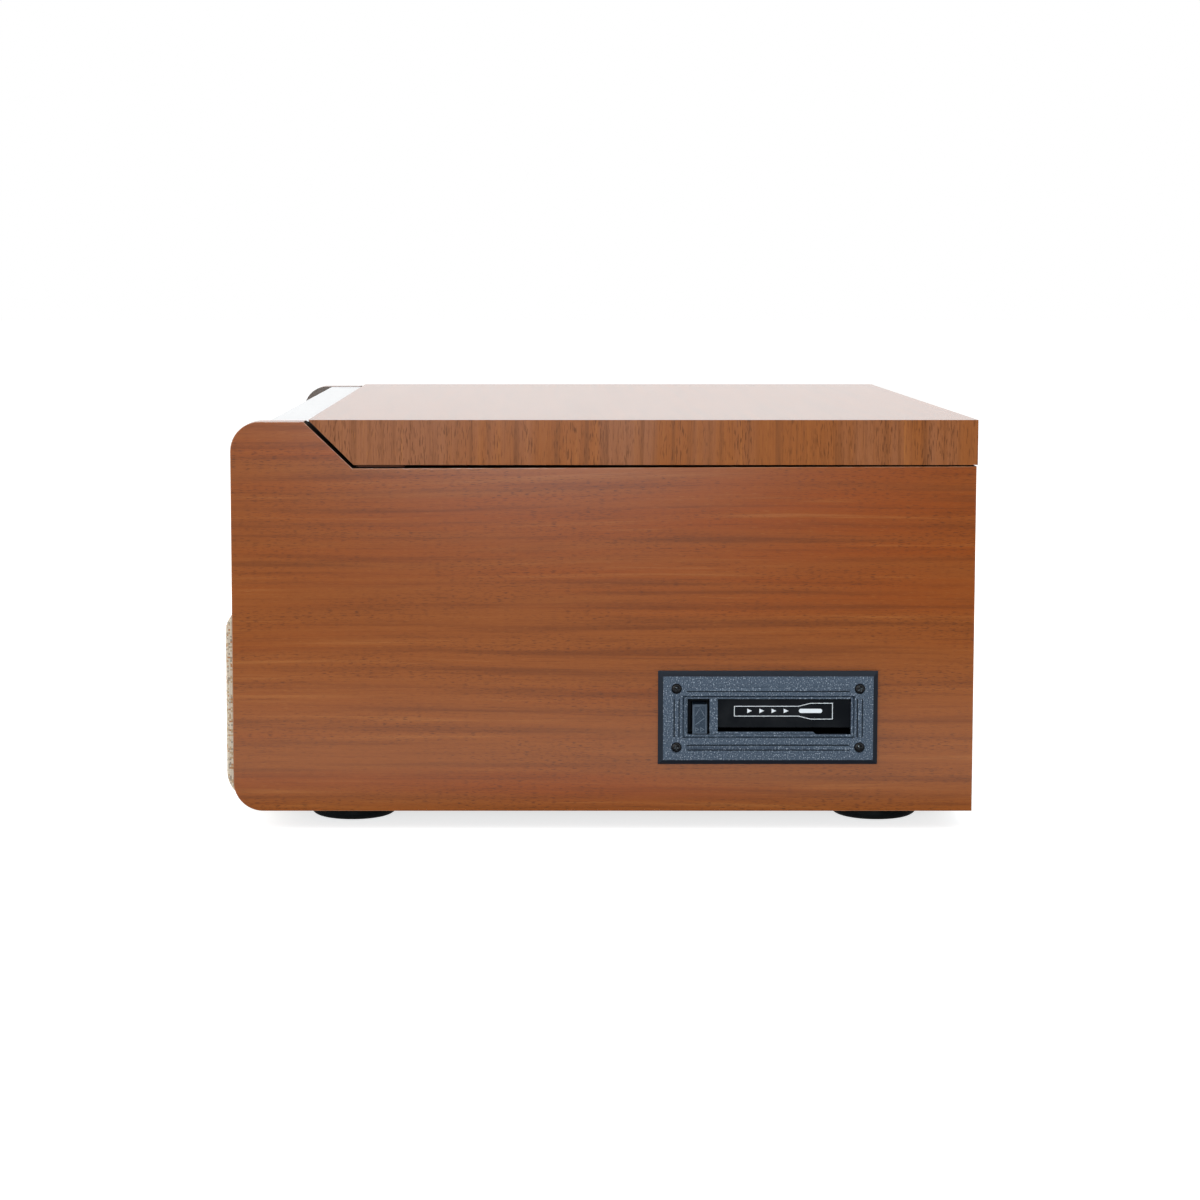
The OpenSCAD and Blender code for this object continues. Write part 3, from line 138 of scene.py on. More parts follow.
class Shape:
    """A mesh in the making, in millimetres of the drawing."""

    def __init__(self) -> None:
        """Starts with nothing."""
        self.mesh = bmesh.new()

    @classmethod
    def copy_of(cls, *nodes: str) -> "Shape":
        """The merged solids of some CAD nodes.

        Args:
            nodes: The nodes' names.

        Returns:
            The copy, with the flat faces whole again.
        """
        shape = cls()
        for node in nodes:
            shape.mesh.from_mesh(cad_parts[node].data)
        shape.moved(DRAWING.inverted())
        bmesh.ops.remove_doubles(shape.mesh, verts=shape.mesh.verts, dist=MERGE)
        bmesh.ops.dissolve_limit(shape.mesh, angle_limit=SAME_PLANE,
                                 verts=shape.mesh.verts, edges=shape.mesh.edges)
        return shape

    @classmethod
    def block(cls, low: Place, high: Place) -> "Shape":
        """A box between two corners."""
        shape = cls()
        low, high = Vector(low), Vector(high)
        matrix = Matrix.Translation((low + high) / 2) @ Matrix.Diagonal((*(high - low), 1.0))
        bmesh.ops.create_cube(shape.mesh, size=1.0, matrix=matrix)
        return shape

    @classmethod
    def plate(cls, outline: Sequence[Flat], depth: float) -> "Shape":
        """An outline in x and y, raised along z.

        Args:
            outline: The outline's points, anticlockwise.
            depth: The plate's thickness.

        Returns:
            The closed plate.
        """
        shape = cls()
        shape.raised([shape.mesh.faces.new([shape.mesh.verts.new((x, y, 0.0)) for x, y in outline])], depth)
        return shape

    @classmethod
    def ring(cls, outline: Sequence[Flat], width: float, depth: float) -> "Shape":
        """A line along the inside of an outline, raised along z.

        Args:
            outline: The outline's points, anticlockwise.
            width: The line's width.
            depth: The line's height.

        Returns:
            The closed line.
        """
        shape = cls()
        face = shape.mesh.faces.new([shape.mesh.verts.new((x, y, 0.0)) for x, y in outline])
        face.normal_update()
        made = bmesh.ops.inset_region(shape.mesh, faces=[face], thickness=width,
                                      use_boundary=True, use_even_offset=True)
        border = made["faces"]
        bmesh.ops.delete(shape.mesh, geom=[face], context="FACES")
        shape.raised(border, depth)
        return shape

    @classmethod
    def bar(cls, start: Flat, end: Flat, width: float, depth: float) -> "Shape":
        """A straight line from point to point in x and y, raised along z."""
        along = Vector(end) - Vector(start)
        shape = cls.block((0, -width / 2, 0), (along.length, width / 2, depth))
        angle = math.atan2(along.y, along.x)
        return shape.moved(shift(*start, 0) @ Matrix.Rotation(angle, 4, "Z"))

    @classmethod
    def turned(cls, profile: Sequence[Flat], steps: int = 64) -> "Shape":
        """A profile of radius and height, spun about z.

        Args:
            profile: The profile's points. It is closed if it starts and ends on the axis, or
                where its first and last point are the same.
            steps: Number of facets round the axis.

        Returns:
            The closed solid.
        """
        shape = cls()
        mesh = shape.mesh
        verts = [mesh.verts.new((r, 0.0, h)) for r, h in profile]
        edges = [mesh.edges.new(pair) for pair in zip(verts, verts[1:])]
        bmesh.ops.spin(mesh, geom=verts + edges, cent=(0, 0, 0), axis=(0, 0, 1),
                       angle=math.tau, steps=steps, use_merge=True)
        bmesh.ops.remove_doubles(mesh, verts=mesh.verts, dist=FINE_MERGE)
        bmesh.ops.recalc_face_normals(mesh, faces=mesh.faces)
        return shape

    @classmethod
    def fluted(cls, radii: Flat, heights: Flat, count: int, depth: float) -> "Shape":
        """A tapering body with flutes all round it.

        Args:
            radii: Radius at the bottom and at the top.
            heights: Height of the bottom and of the top.
            count: Number of flutes.
            depth: Depth of a flute.

        Returns:
            The closed body.
        """
        shape = cls()
        mesh = shape.mesh
        bmesh.ops.create_circle(mesh, cap_ends=True, segments=count * 6, radius=radii[0],
                                matrix=shift(0, 0, heights[0]))
        for vert in mesh.verts:
            wave = 0.5 - 0.5 * math.cos(count * math.atan2(vert.co.y, vert.co.x))
            share = 1.0 - depth / radii[0] * wave
            vert.co = (vert.co.x * share, vert.co.y * share, vert.co.z)
        top = shape.raised(list(mesh.faces), heights[1] - heights[0])
        bmesh.ops.scale(mesh, vec=(radii[1] / radii[0],) * 2 + (1.0,), verts=top)
        return shape

    @classmethod
    def letters(cls, words: str, size: float, depth: float) -> "Shape":
        """Raised letters or numbers, centred on the origin.

        Args:
            words: What they say.
            size: Height of a line.
            depth: How far they stand up.

        Returns:
            The letters' solids.
        """
        curve = bpy.data.curves.new("letters", "FONT")
        curve.body, curve.size, curve.extrude = words, size, depth / 2
        curve.align_x, curve.align_y, curve.resolution_u = "CENTER", "CENTER", 3
        holder = bpy.data.objects.new("letters", curve)
        link(holder)
        flat = bpy.data.meshes.new_from_object(holder.evaluated_get(bpy.context.evaluated_depsgraph_get()))
        shape = cls()
        shape.mesh.from_mesh(flat)
        bpy.data.objects.remove(holder)
        bpy.data.curves.remove(curve)
        bpy.data.meshes.remove(flat)
        bmesh.ops.remove_doubles(shape.mesh, verts=shape.mesh.verts, dist=FINE_MERGE)
        return shape.moved(shift(0, 0, depth / 2))

    def raised(self, faces: list[Face], depth: float) -> list[bmesh.types.BMVert]:
        """Extrudes faces along z.

        Args:
            faces: Faces that lie in a plane of x and y.
            depth: How far they rise.

        Returns:
            The points of the raised end.
        """
        made = bmesh.ops.extrude_face_region(self.mesh, geom=faces)
        top = [v for v in made["geom"] if isinstance(v, bmesh.types.BMVert)]
        bmesh.ops.translate(self.mesh, vec=(0.0, 0.0, depth), verts=top)
        bmesh.ops.recalc_face_normals(self.mesh, faces=self.mesh.faces)
        return top

    def moved(self, matrix: Matrix) -> "Shape":
        """Moves, turns or scales the whole shape."""
        bmesh.ops.transform(self.mesh, matrix=matrix, verts=self.mesh.verts)
        return self

    def copy(self) -> "Shape":
        """A second shape like this one."""
        twin = Shape()
        twin.mesh = self.mesh.copy()
        return twin

    def join(self, *others: "Shape") -> "Shape":
        """Takes other shapes into this one, as separate solids."""
        for other in others:
            holder = bpy.data.meshes.new("join")
            other.mesh.to_mesh(holder)
            other.mesh.free()
            self.mesh.from_mesh(holder)
            bpy.data.meshes.remove(holder)
        return self

    def soften(self, width: float, segments: int = 2, angle: float = 30.0,
               where: Optional[Callable[[Edge], bool]] = None, longer: float = 0.0) -> "Shape":
        """Rounds sharp edges and marks the new faces, so that a finish can colour them: real rubbing on some
        finishes and a painted highlight on others.

        Args:
            width: Width of the rounding.
            segments: Number of facets across it.
            angle: Smallest angle of an edge that is rounded, in degrees.
            where: Says which edges are rounded, or None for all of them.
            longer: Length that an edge has to pass to be rounded.

        Returns:
            The shape itself.
        """
        layer = self.layer("edge")
        sharp = [e for e in self.mesh.edges if e.is_manifold and e.calc_length() > longer
                 and e.calc_face_angle(0.0) > math.radians(angle) and (where is None or where(e))]
        made = bmesh.ops.bevel(self.mesh, geom=sharp, offset=width, offset_type="OFFSET", segments=segments,
                               profile=0.5, affect="EDGES", clamp_overlap=True, material=-1)
        for face in made["faces"]:
            face[layer] = 1.0
        return self

    def layer(self, name: str) -> bmesh.types.BMLayerItem:
        """A face attribute for a finish to read, made before any face is picked."""
        layers = self.mesh.faces.layers.float
        return layers.get(name) or layers.new(name)

    def mark(self, name: str, chosen: Callable[[Face], bool]) -> "Shape":
        """Sets a face attribute to one on the chosen faces."""
        layer = self.layer(name)
        self.mesh.normal_update()
        for face in self.mesh.faces:
            if chosen(face):
                face[layer] = 1.0
        return self

    def carve(self, cutter: "Shape") -> "Shape":
        """Cuts another shape out of this one.

        Args:
            cutter: The shape to cut away. It is used up.

        Returns:
            The shape itself.
        """
        holders = []
        for shape in (self, cutter):
            holder = bpy.data.objects.new("carve", bpy.data.meshes.new("carve"))
            shape.mesh.to_mesh(holder.data)
            shape.mesh.free()
            link(holder)
            holders.append(holder)
        cut = holders[0].modifiers.new("cut", "BOOLEAN")
        cut.operation, cut.solver, cut.object = "DIFFERENCE", "EXACT", holders[1]
        depsgraph = bpy.context.evaluated_depsgraph_get()
        carved = bpy.data.meshes.new_from_object(holders[0].evaluated_get(depsgraph))
        self.mesh = bmesh.new()
        self.mesh.from_mesh(carved)
        for mesh in [carved] + [holder.data for holder in holders]:
            bpy.data.meshes.remove(mesh)
        return self

    def lay_grain(self, lay: Callable[[Vector, Vector], Flat]) -> "Shape":
        """Lays a sheet of veneer on the shape.

        Args:
            lay: Gives the place on the sheet, along and across its grain in millimetres, of a
                point with a given face normal.

        Returns:
            The shape itself.
        """
        layer = self.mesh.loops.layers.uv.new("grain")
        self.mesh.normal_update()
        for face in self.mesh.faces:
            for loop in face.loops:
                along, across = lay(loop.vert.co, face.normal)
                loop[layer].uv = (along * MM, across * MM)
        return self

    def finish(self, name: str, finish: "Finish", body: str, slot: str,
               replaces: Sequence[str] = (), smooth: float = 35.0) -> Piece:
        """Makes the shape an object of the scene and puts it on its body.

        Args:
            name: The piece's name.
            finish: What its surface is made of.
            body: The CAD body that it moves with.
            slot: The record's material slot; not used.
            replaces: CAD nodes that it stands for.
            smooth: Largest angle between faces that shade as one surface, in degrees.

        Returns:
            The piece.
        """
        self.moved(DRAWING)
        mesh = bpy.data.meshes.new(name)
        self.mesh.to_mesh(mesh)
        self.mesh.free()
        mesh.shade_smooth()
        mesh.set_sharp_from_angle(angle=math.radians(smooth))
        mesh.materials.append(finish.material())
        piece = bpy.data.objects.new(name, mesh)
        link(piece)
        normals = piece.modifiers.new("normals", "WEIGHTED_NORMAL")
        normals.keep_sharp = True
        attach(piece, body)
        if replaces:
            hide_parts(*replaces)
        return piece


def dress(node: str, finish: "Finish") -> Piece:
    """Gives a CAD node that keeps its shape a better material.

    Args:
        node: The node's name.
        finish: What its surface is made of.

    Returns:
        The node's object.
    """
    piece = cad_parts[node]
    piece.data.materials.clear()
    piece.data.materials.append(finish.material())
    return piece


class Graph:
    """Adds nodes to one node tree and links them."""

    def __init__(self, tree: bpy.types.NodeTree) -> None:
        """Takes over a tree and empties it."""
        self.tree = tree
        tree.nodes.clear()

    def feed(self, socket: Socket, value: Union[Socket, float, Sequence[float]]) -> None:
        """Links an output to a socket, or sets the socket's own value."""
        if isinstance(value, bpy.types.NodeSocket):
            self.tree.links.new(value, socket)
        elif socket.type == "RGBA":
            socket.default_value = (*value[:3], 1.0)
        else:
            socket.default_value = value

    def add(self, kind: str, inputs: Optional[dict] = None, **settings: object) -> bpy.types.Node:
        """Adds one shader node.

        Args:
            kind: The node's type, without its common prefix.
            inputs: Values or outputs for its sockets, by name or index.
            settings: The node's own settings.

        Returns:
            The node.
        """
        node = self.tree.nodes.new("ShaderNode" + kind)
        for name, value in settings.items():
            setattr(node, name, value)
        for name, value in (inputs or {}).items():
            self.feed(node.inputs[name], value)
        return node

    def math(self, operation: str, *values: Union[Socket, float], clamp: bool = False) -> Socket:
        """Result of a Math node on one, two or three values."""
        return self.add("Math", dict(enumerate(values)), operation=operation, use_clamp=clamp).outputs[0]

    def times(self, first: Socket, second: Union[Socket, float]) -> Socket:
        """Product of two values."""
        return self.math("MULTIPLY", first, second)

    def mix(self, factor: Union[Socket, float], first: object, second: object, blend: str = "MIX") -> Socket:
        """Two colours, mixed by a factor."""
        node = self.add("Mix", data_type="RGBA", blend_type=blend)
        for index, value in ((0, factor), (6, first), (7, second)):
            self.feed(node.inputs[index], value)
        return node.outputs[2]

    def stretch(self, vector: Socket, scale: Place, offset: Place = (0, 0, 0)) -> Socket:
        """A vector times a scale, plus an offset."""
        return self.add("VectorMath", {0: vector, 1: scale, 2: offset}, operation="MULTIPLY_ADD").outputs[0]

    def noise(self, vector: Socket, scale: Union[Socket, float] = 1.0, detail: float = 2.0,
              rough: float = 0.5) -> Socket:
        """Noise from zero to one."""
        inputs = {"Vector": vector, "Scale": scale, "Detail": detail, "Roughness": rough}
        return self.add("TexNoise", inputs).outputs["Fac"]

    def range(self, value: Socket, low: float, high: float, start: float = 0.0, end: float = 1.0) -> Socket:
        """A value's part from low to high, spread smoothly from start to end."""
        inputs = {"Value": value, "From Min": low, "From Max": high, "To Min": start, "To Max": end}
        return self.add("MapRange", inputs, interpolation_type="SMOOTHSTEP").outputs["Result"]

    def split(self, vector: Socket) -> list[Socket]:
        """The three parts of a vector."""
        return list(self.add("SeparateXYZ", {0: vector}).outputs)


class Kind(Enum):
    """Kinds of socket on a node group."""

    VECTOR = "NodeSocketVector"
    COLOUR = "NodeSocketColor"
    VALUE = "NodeSocketFloat"


def kinds(colours: str = "", values: str = "", vectors: str = "") -> dict[str, Kind]:
    """Sockets of a node group by name, each kind's names in one line."""
    rows = ((Kind.VECTOR, vectors), (Kind.COLOUR, colours), (Kind.VALUE, values))
    return {name: kind for kind, names in rows for name in names.split()}


Sockets = dict[str, Socket]


class Effect:
    """A shader node group that is built once and placed in each material that shows it."""

    name: str = ""
    takes: dict[str, Kind] = {}
    gives: dict[str, Kind] = kinds("Color", "Roughness Height")
    trees: dict[str, bpy.types.NodeTree] = {}

    def wire(self, graph: Graph, given: Sockets) -> Sockets:
        """Wires the given inputs in the group's own tree, and returns what feeds each output."""
        raise NotImplementedError

    def tree(self) -> bpy.types.NodeTree:
        """The group's tree, built on first use."""
        if self.name not in self.trees:
            tree = bpy.data.node_groups.new(self.name, "ShaderNodeTree")
            for way, sockets in (("INPUT", self.takes), ("OUTPUT", self.gives)):
                for name, kind in sockets.items():
                    tree.interface.new_socket(name, in_out=way, socket_type=kind.value)
            graph = Graph(tree)
            source = tree.nodes.new("NodeGroupInput")
            target = tree.nodes.new("NodeGroupOutput")
            made = self.wire(graph, {name: source.outputs[name] for name in self.takes})
            for name, socket in made.items():
                graph.feed(target.inputs[name], socket)
            self.trees[self.name] = tree
        return self.trees[self.name]

    def place(self, graph: Graph, **values: object) -> Sockets:
        """Places the group in a material.

        Args:
            graph: The material's tree.
            values: Values or outputs for the group's inputs.

        Returns:
            The group's outputs by name.
        """
        node = graph.add("Group", node_tree=self.tree())
        for name, value in values.items():
            graph.feed(node.inputs[name], value)
        return {name: node.outputs[name] for name in self.gives}


class WoodGrain(Effect):
    """Sliced veneer: soft bands, streaks, fine lines and short pores along the grain."""

    name = "wood_grain"
    takes = kinds("Colour Band Second Pore Pale", "Shine Fine", "Vector")

    def wire(self, graph: Graph, given: Sockets) -> Sockets:
        """Wires bands, streaks and pores on a place along and across the grain, in metres."""
        flow = graph.noise(graph.stretch(given["Vector"], (2.2, 9.0, 0.0)))
        wave = graph.math("MULTIPLY_ADD", flow, 0.012, -0.006)
        bend = graph.add("CombineXYZ", {1: wave}).outputs[0]
        sheet = graph.add("VectorMath", {0: given["Vector"], 1: bend}, operation="ADD").outputs[0]
        drift = graph.noise(graph.stretch(sheet, (3.2, 5.0, 0.0), (0.35, 0.2, 3.0)), detail=1.0)
        band = graph.noise(graph.stretch(sheet, (1.7, 44.0, 0.0), (0.3, 1.7, 2.0)), detail=3.0, rough=0.6)
        band = graph.math("ADD", graph.times(band, 0.62), graph.math("MULTIPLY_ADD", drift, -0.38, 0.38))
        streak = graph.noise(graph.stretch(sheet, (4.5, 210.0, 0.0), (5.0, 0.0, 7.0)), detail=4.0, rough=0.62)
        line = graph.noise(graph.stretch(sheet, (24.0, 1150.0, 0.0), (0.0, 3.0, 1.0)), detail=3.0, rough=0.7)
        patch = graph.noise(graph.stretch(sheet, (9.0, 70.0, 0.0), (3.0, 3.0, 5.0)))
        tick = graph.noise(graph.stretch(sheet, (300.0, 3000.0, 0.0), (0.0, 0.0, 9.0)), given["Fine"], 1.0)
        fleck = graph.noise(graph.stretch(sheet, (170.0, 2900.0, 0.0), (7.0, 3.0, 4.0)), given["Fine"], 1.0)
        pore = graph.times(graph.range(tick, 0.55, 0.68), graph.range(patch, 0.38, 0.62, 0.3, 1.0))
        pale = graph.times(graph.range(fleck, 0.62, 0.76), graph.range(patch, 0.35, 0.6, 0.7, 0.2))
        colour = graph.mix(graph.range(band, 0.42, 0.60), given["Colour"], given["Band"])
        colour = graph.mix(graph.range(streak, 0.46, 0.70, 0.0, 0.62), colour, given["Second"])
        colour = graph.mix(graph.range(streak, 0.44, 0.28, 0.0, 0.36), colour, given["Pale"])
        colour = graph.mix(graph.range(line, 0.50, 0.75, 0.0, 0.55), colour, given["Second"])
        colour = graph.mix(graph.times(pale, 0.45), colour, given["Pale"])
        colour = graph.mix(graph.times(pore, 0.7), colour, given["Pore"])
        rough = graph.math("ADD", given["Shine"], graph.range(line, 0.3, 0.7, -0.03, 0.05))
        rough = graph.math("ADD", rough, graph.times(pore, 0.2))
        height = graph.math("SUBTRACT", graph.times(line, 0.25), pore)
        return {"Color": colour, "Roughness": rough, "Height": height}


class MouldedGrain(Effect):
    """Moulded plastic: a fine spark-eroded grain with bright and dark specks."""

    name = "moulded_grain"
    takes = kinds("Colour Second", "Cells Specks Shine", "Vector")

    def wire(self, graph: Graph, given: Sockets) -> Sockets:
        """Wires cells of the given number in a metre, and specks between them."""
        cells = graph.add("TexVoronoi", {"Vector": given["Vector"], "Scale": given["Cells"]})
        hump = cells.outputs["Distance"]
        speck = graph.noise(given["Vector"], given["Cells"])
        cloud = graph.noise(given["Vector"], 60.0, 3.0)
        bright = graph.times(graph.range(speck, 0.56, 0.72), given["Specks"])
        dim = graph.times(graph.range(speck, 0.46, 0.32), given["Specks"])
        colour = graph.mix(1.0, given["Colour"], graph.range(cloud, 0.3, 0.7, 0.965, 1.02), "MULTIPLY")
        colour = graph.mix(bright, colour, given["Second"])
        colour = graph.mix(graph.times(dim, 0.45), colour, (0.0, 0.0, 0.0))
        rough = graph.math("ADD", given["Shine"], graph.range(cloud, 0.3, 0.7, -0.04, 0.05))
        height = graph.math("SUBTRACT", graph.times(speck, 0.8), hump)
        return {"Color": colour, "Roughness": rough, "Height": height}


class Smear(Effect):
    """Smooth plastic or paint: faint finger marks and a few specks of dust."""

    name = "smear"
    takes = kinds("Colour Second", "Shine", "Vector")

    def wire(self, graph: Graph, given: Sockets) -> Sockets:
        """Wires cloudy marks and specks of less than half a millimetre."""
        mark = graph.noise(given["Vector"], 45.0, 4.0, 0.6)
        dust = graph.range(graph.noise(given["Vector"], 2300.0, 1.0), 0.76, 0.84)
        ripple = graph.noise(given["Vector"], 140.0)
        colour = graph.mix(graph.range(mark, 0.35, 0.75, 0.0, 0.10), given["Colour"], given["Second"])
        colour = graph.mix(graph.times(dust, 0.35), colour, given["Second"])
        rough = graph.math("ADD", given["Shine"], graph.range(mark, 0.35, 0.7, -0.03, 0.07))
        return {"Color": colour, "Roughness": graph.math("MULTIPLY_ADD", dust, 0.3, rough), "Height": ripple}


class Brushing(Effect):
    """Metal with fine lines along the vector's x axis."""

    name = "brushing"
    takes = kinds("Colour Second", "Shine", "Vector")

    def wire(self, graph: Graph, given: Sockets) -> Sockets:
        """Wires long thin lines and a slow change of tone."""
        line = graph.noise(graph.stretch(given["Vector"], (60.0, 5200.0, 5200.0)), detail=3.0, rough=0.6)
        tone = graph.noise(given["Vector"], 35.0, 3.0)
        colour = graph.mix(graph.range(line, 0.35, 0.75, 0.0, 0.4), given["Colour"], given["Second"])
        colour = graph.mix(graph.range(tone, 0.4, 0.75, 0.0, 0.25), colour, given["Second"])
        rough = graph.math("ADD", given["Shine"], graph.range(line, 0.3, 0.7, -0.06, 0.10))
        return {"Color": colour, "Roughness": rough, "Height": line}


class Turning(Effect):
    """Metal turned on a lathe: fine rings round the vector's z axis."""

    name = "turning"
    takes = kinds("Colour Second", "Shine", "Vector")

    def wire(self, graph: Graph, given: Sockets) -> Sockets:
        """Wires rings by the distance from the axis and by the height along it."""
        x, y, z = graph.split(given["Vector"])
        away = graph.math("SQRT", graph.math("ADD", graph.times(x, x), graph.times(y, y)))
        rings = graph.add("CombineXYZ", {0: away, 1: z}).outputs[0]
        ring = graph.noise(rings, 3800.0, 3.0, 0.6)
        tone = graph.noise(given["Vector"], 40.0, 3.0)
        colour = graph.mix(graph.range(ring, 0.35, 0.75, 0.0, 0.42), given["Colour"], given["Second"])
        colour = graph.mix(graph.range(tone, 0.42, 0.75, 0.0, 0.22), colour, given["Second"])
        rough = graph.math("ADD", given["Shine"], graph.range(ring, 0.3, 0.7, -0.05, 0.10))
        return {"Color": colour, "Roughness": rough, "Height": ring}


class Fibres(Effect):
    """Pressed fibres, as in hardboard, felt and paper."""

    name = "fibres"
    takes = kinds("Colour Second", "Fibres Shine", "Vector")

    def wire(self, graph: Graph, given: Sockets) -> Sockets:
        """Wires two crossing layers of short fibres over a mottled ground."""
        bent = graph.add("VectorRotate", {"Vector": given["Vector"], "Axis": (0.4, 0.7, 0.6), "Angle": 1.1})
        layers = []
        for source, scale in ((given["Vector"], (1.0, 0.16, 1.0)), (bent.outputs[0], (0.16, 1.0, 1.0))):
            layers.append(graph.noise(graph.stretch(source, scale), given["Fibres"]))
        weave = graph.math("MAXIMUM", *layers)
        mottle = graph.noise(given["Vector"], 90.0, 4.0, 0.6)
        colour = graph.mix(graph.range(weave, 0.46, 0.72, 0.0, 0.65), given["Colour"], given["Second"])
        colour = graph.mix(graph.range(mottle, 0.4, 0.7, 0.0, 0.3), colour, given["Second"])
        rough = graph.math("ADD", given["Shine"], graph.range(weave, 0.4, 0.7, -0.05, 0.05))
        return {"Color": colour, "Roughness": rough, "Height": weave}


class Weave(Effect):
    """Tweed of thick yarns over and under each other, each with its own flecks."""

    name = "weave"
    takes = kinds("Colour Second Rust Grey", "Yarns", "Vector")

    def wire(self, graph: Graph, given: Sockets) -> Sockets:
        """Wires a plain weave of the given number of yarns in a metre, with painted shade between the yarns.
        """
        slub = graph.noise(given["Vector"], 420.0)
        bend = graph.add("CombineXYZ", {0: graph.math("MULTIPLY_ADD", slub, 0.0006, -0.0003),
                                        1: graph.math("MULTIPLY_ADD", slub, -0.0006, 0.0003)}).outputs[0]
        cloth = graph.add("VectorMath", {0: given["Vector"], 1: bend}, operation="ADD").outputs[0]
        grid = graph.add("VectorMath", {0: cloth, "Scale": given["Yarns"]}, operation="SCALE").outputs[0]
        cell = graph.add("VectorMath", {0: grid}, operation="FLOOR").outputs[0]
        across, along, _ = graph.split(graph.add("VectorMath", {0: grid}, operation="FRACTION").outputs[0])
        column, row, _ = graph.split(cell)
        over = graph.math("FLOORED_MODULO", graph.math("ADD", column, row), 2.0)
        crowns = [graph.math("SINE", graph.times(part, math.pi)) for part in (across, along)]
        crown = graph.add("Mix", {0: over, 2: crowns[0], 3: crowns[1]}).outputs[0]
        lift = graph.times(crown, graph.math("MULTIPLY_ADD", crowns[0], 0.35, 0.65))
        down, side = [graph.math("FLOOR", graph.times(part, 0.34)) for part in (row, column)]
        warp = graph.add("CombineXYZ", {0: column, 1: down}).outputs[0]
        weft = graph.add("CombineXYZ", {0: side, 1: row, 2: 5.0}).outputs[0]
        runs = graph.mix(over, warp, weft)
        pick = graph.add("TexWhiteNoise", {"Vector": runs}, noise_dimensions="3D").outputs["Value"]
        fuzz = graph.noise(given["Vector"], 2600.0)
        colour = graph.mix(graph.math("GREATER_THAN", pick, 0.62), given["Colour"], given["Second"])
        colour = graph.mix(graph.math("GREATER_THAN", pick, 0.80), colour, given["Grey"])
        colour = graph.mix(graph.math("GREATER_THAN", pick, 0.91), colour, given["Rust"])
        colour = graph.mix(graph.range(fuzz, 0.45, 0.75, 0.0, 0.3), colour, given["Second"])
        # Painted shade: the low parts between the yarns are mixed towards the grey yarn.
        colour = graph.mix(graph.range(lift, 0.5, 0.05, 0.0, 0.6), colour, given["Grey"])
        rough = graph.range(fuzz, 0.3, 0.7, 0.82, 0.95)
        return {"Color": colour, "Roughness": rough, "Height": graph.math("MULTIPLY_ADD", fuzz, 0.3, lift)}


class Tracks(Effect):
    """A circuit board: copper tracks and pads under a coat of lacquer."""

    name = "tracks"
    takes = kinds("Colour Second Pad", vectors="Vector")

    def wire(self, graph: Graph, given: Sockets) -> Sockets:
        """Wires stepped tracks and round pads."""
        steps = graph.add("TexVoronoi", {"Vector": given["Vector"], "Scale": 130.0}, distance="MANHATTAN",
                          feature="F2").outputs["Distance"]
        track = graph.math("LESS_THAN", graph.math("PINGPONG", steps, 0.09), 0.03)
        dots = graph.add("TexVoronoi", {"Vector": given["Vector"], "Scale": 260.0, "Randomness": 0.3})
        pad = graph.math("LESS_THAN", dots.outputs["Distance"], 0.16)
        colour = graph.mix(graph.times(track, 0.7), given["Colour"], given["Second"])
        colour = graph.mix(pad, colour, given["Pad"])
        return {"Color": colour, "Roughness": graph.math("MULTIPLY_ADD", pad, 0.15, 0.3),
                "Height": graph.math("ADD", track, pad)}


class EdgeWear(Effect):
    """Where a softened edge is lighter, from real rubbing and from a painted highlight: the marked faces,
    broken up by noise.
    """

    name = "edge_wear_and_highlight"
    takes = kinds("", "Amount", "Vector")
    gives = kinds("", "Mask")

    def wire(self, graph: Graph, given: Sockets) -> Sockets:
        """Wires the face mark with coarse and fine noise."""
        edge = graph.add("Attribute", attribute_name="edge").outputs["Fac"]
        breakup = graph.range(graph.noise(given["Vector"], 120.0, 4.0, 0.65), 0.30, 0.62, 0.35, 1.0)
        return {"Mask": graph.times(graph.times(edge, breakup), given["Amount"])}


class Dust(Effect):
    """A thin film of dust on what faces up, thicker in patches."""

    name = "dust"
    takes = kinds("", "Amount", "Vector Normal")
    gives = kinds("", "Mask")

    def wire(self, graph: Graph, given: Sockets) -> Sockets:
        """Wires the upward part of the normal with patches and grains."""
        up = graph.range(graph.split(given["Normal"])[2], 0.55, 1.0)
        patch = graph.range(graph.noise(given["Vector"], 25.0, 4.0, 0.6), 0.35, 0.75, 0.25, 1.0)
        grain = graph.range(graph.noise(given["Vector"], 1500.0), 0.35, 0.7, 0.3, 1.0)
        film = graph.times(graph.times(up, patch), grain)
        return {"Mask": graph.times(film, given["Amount"])}


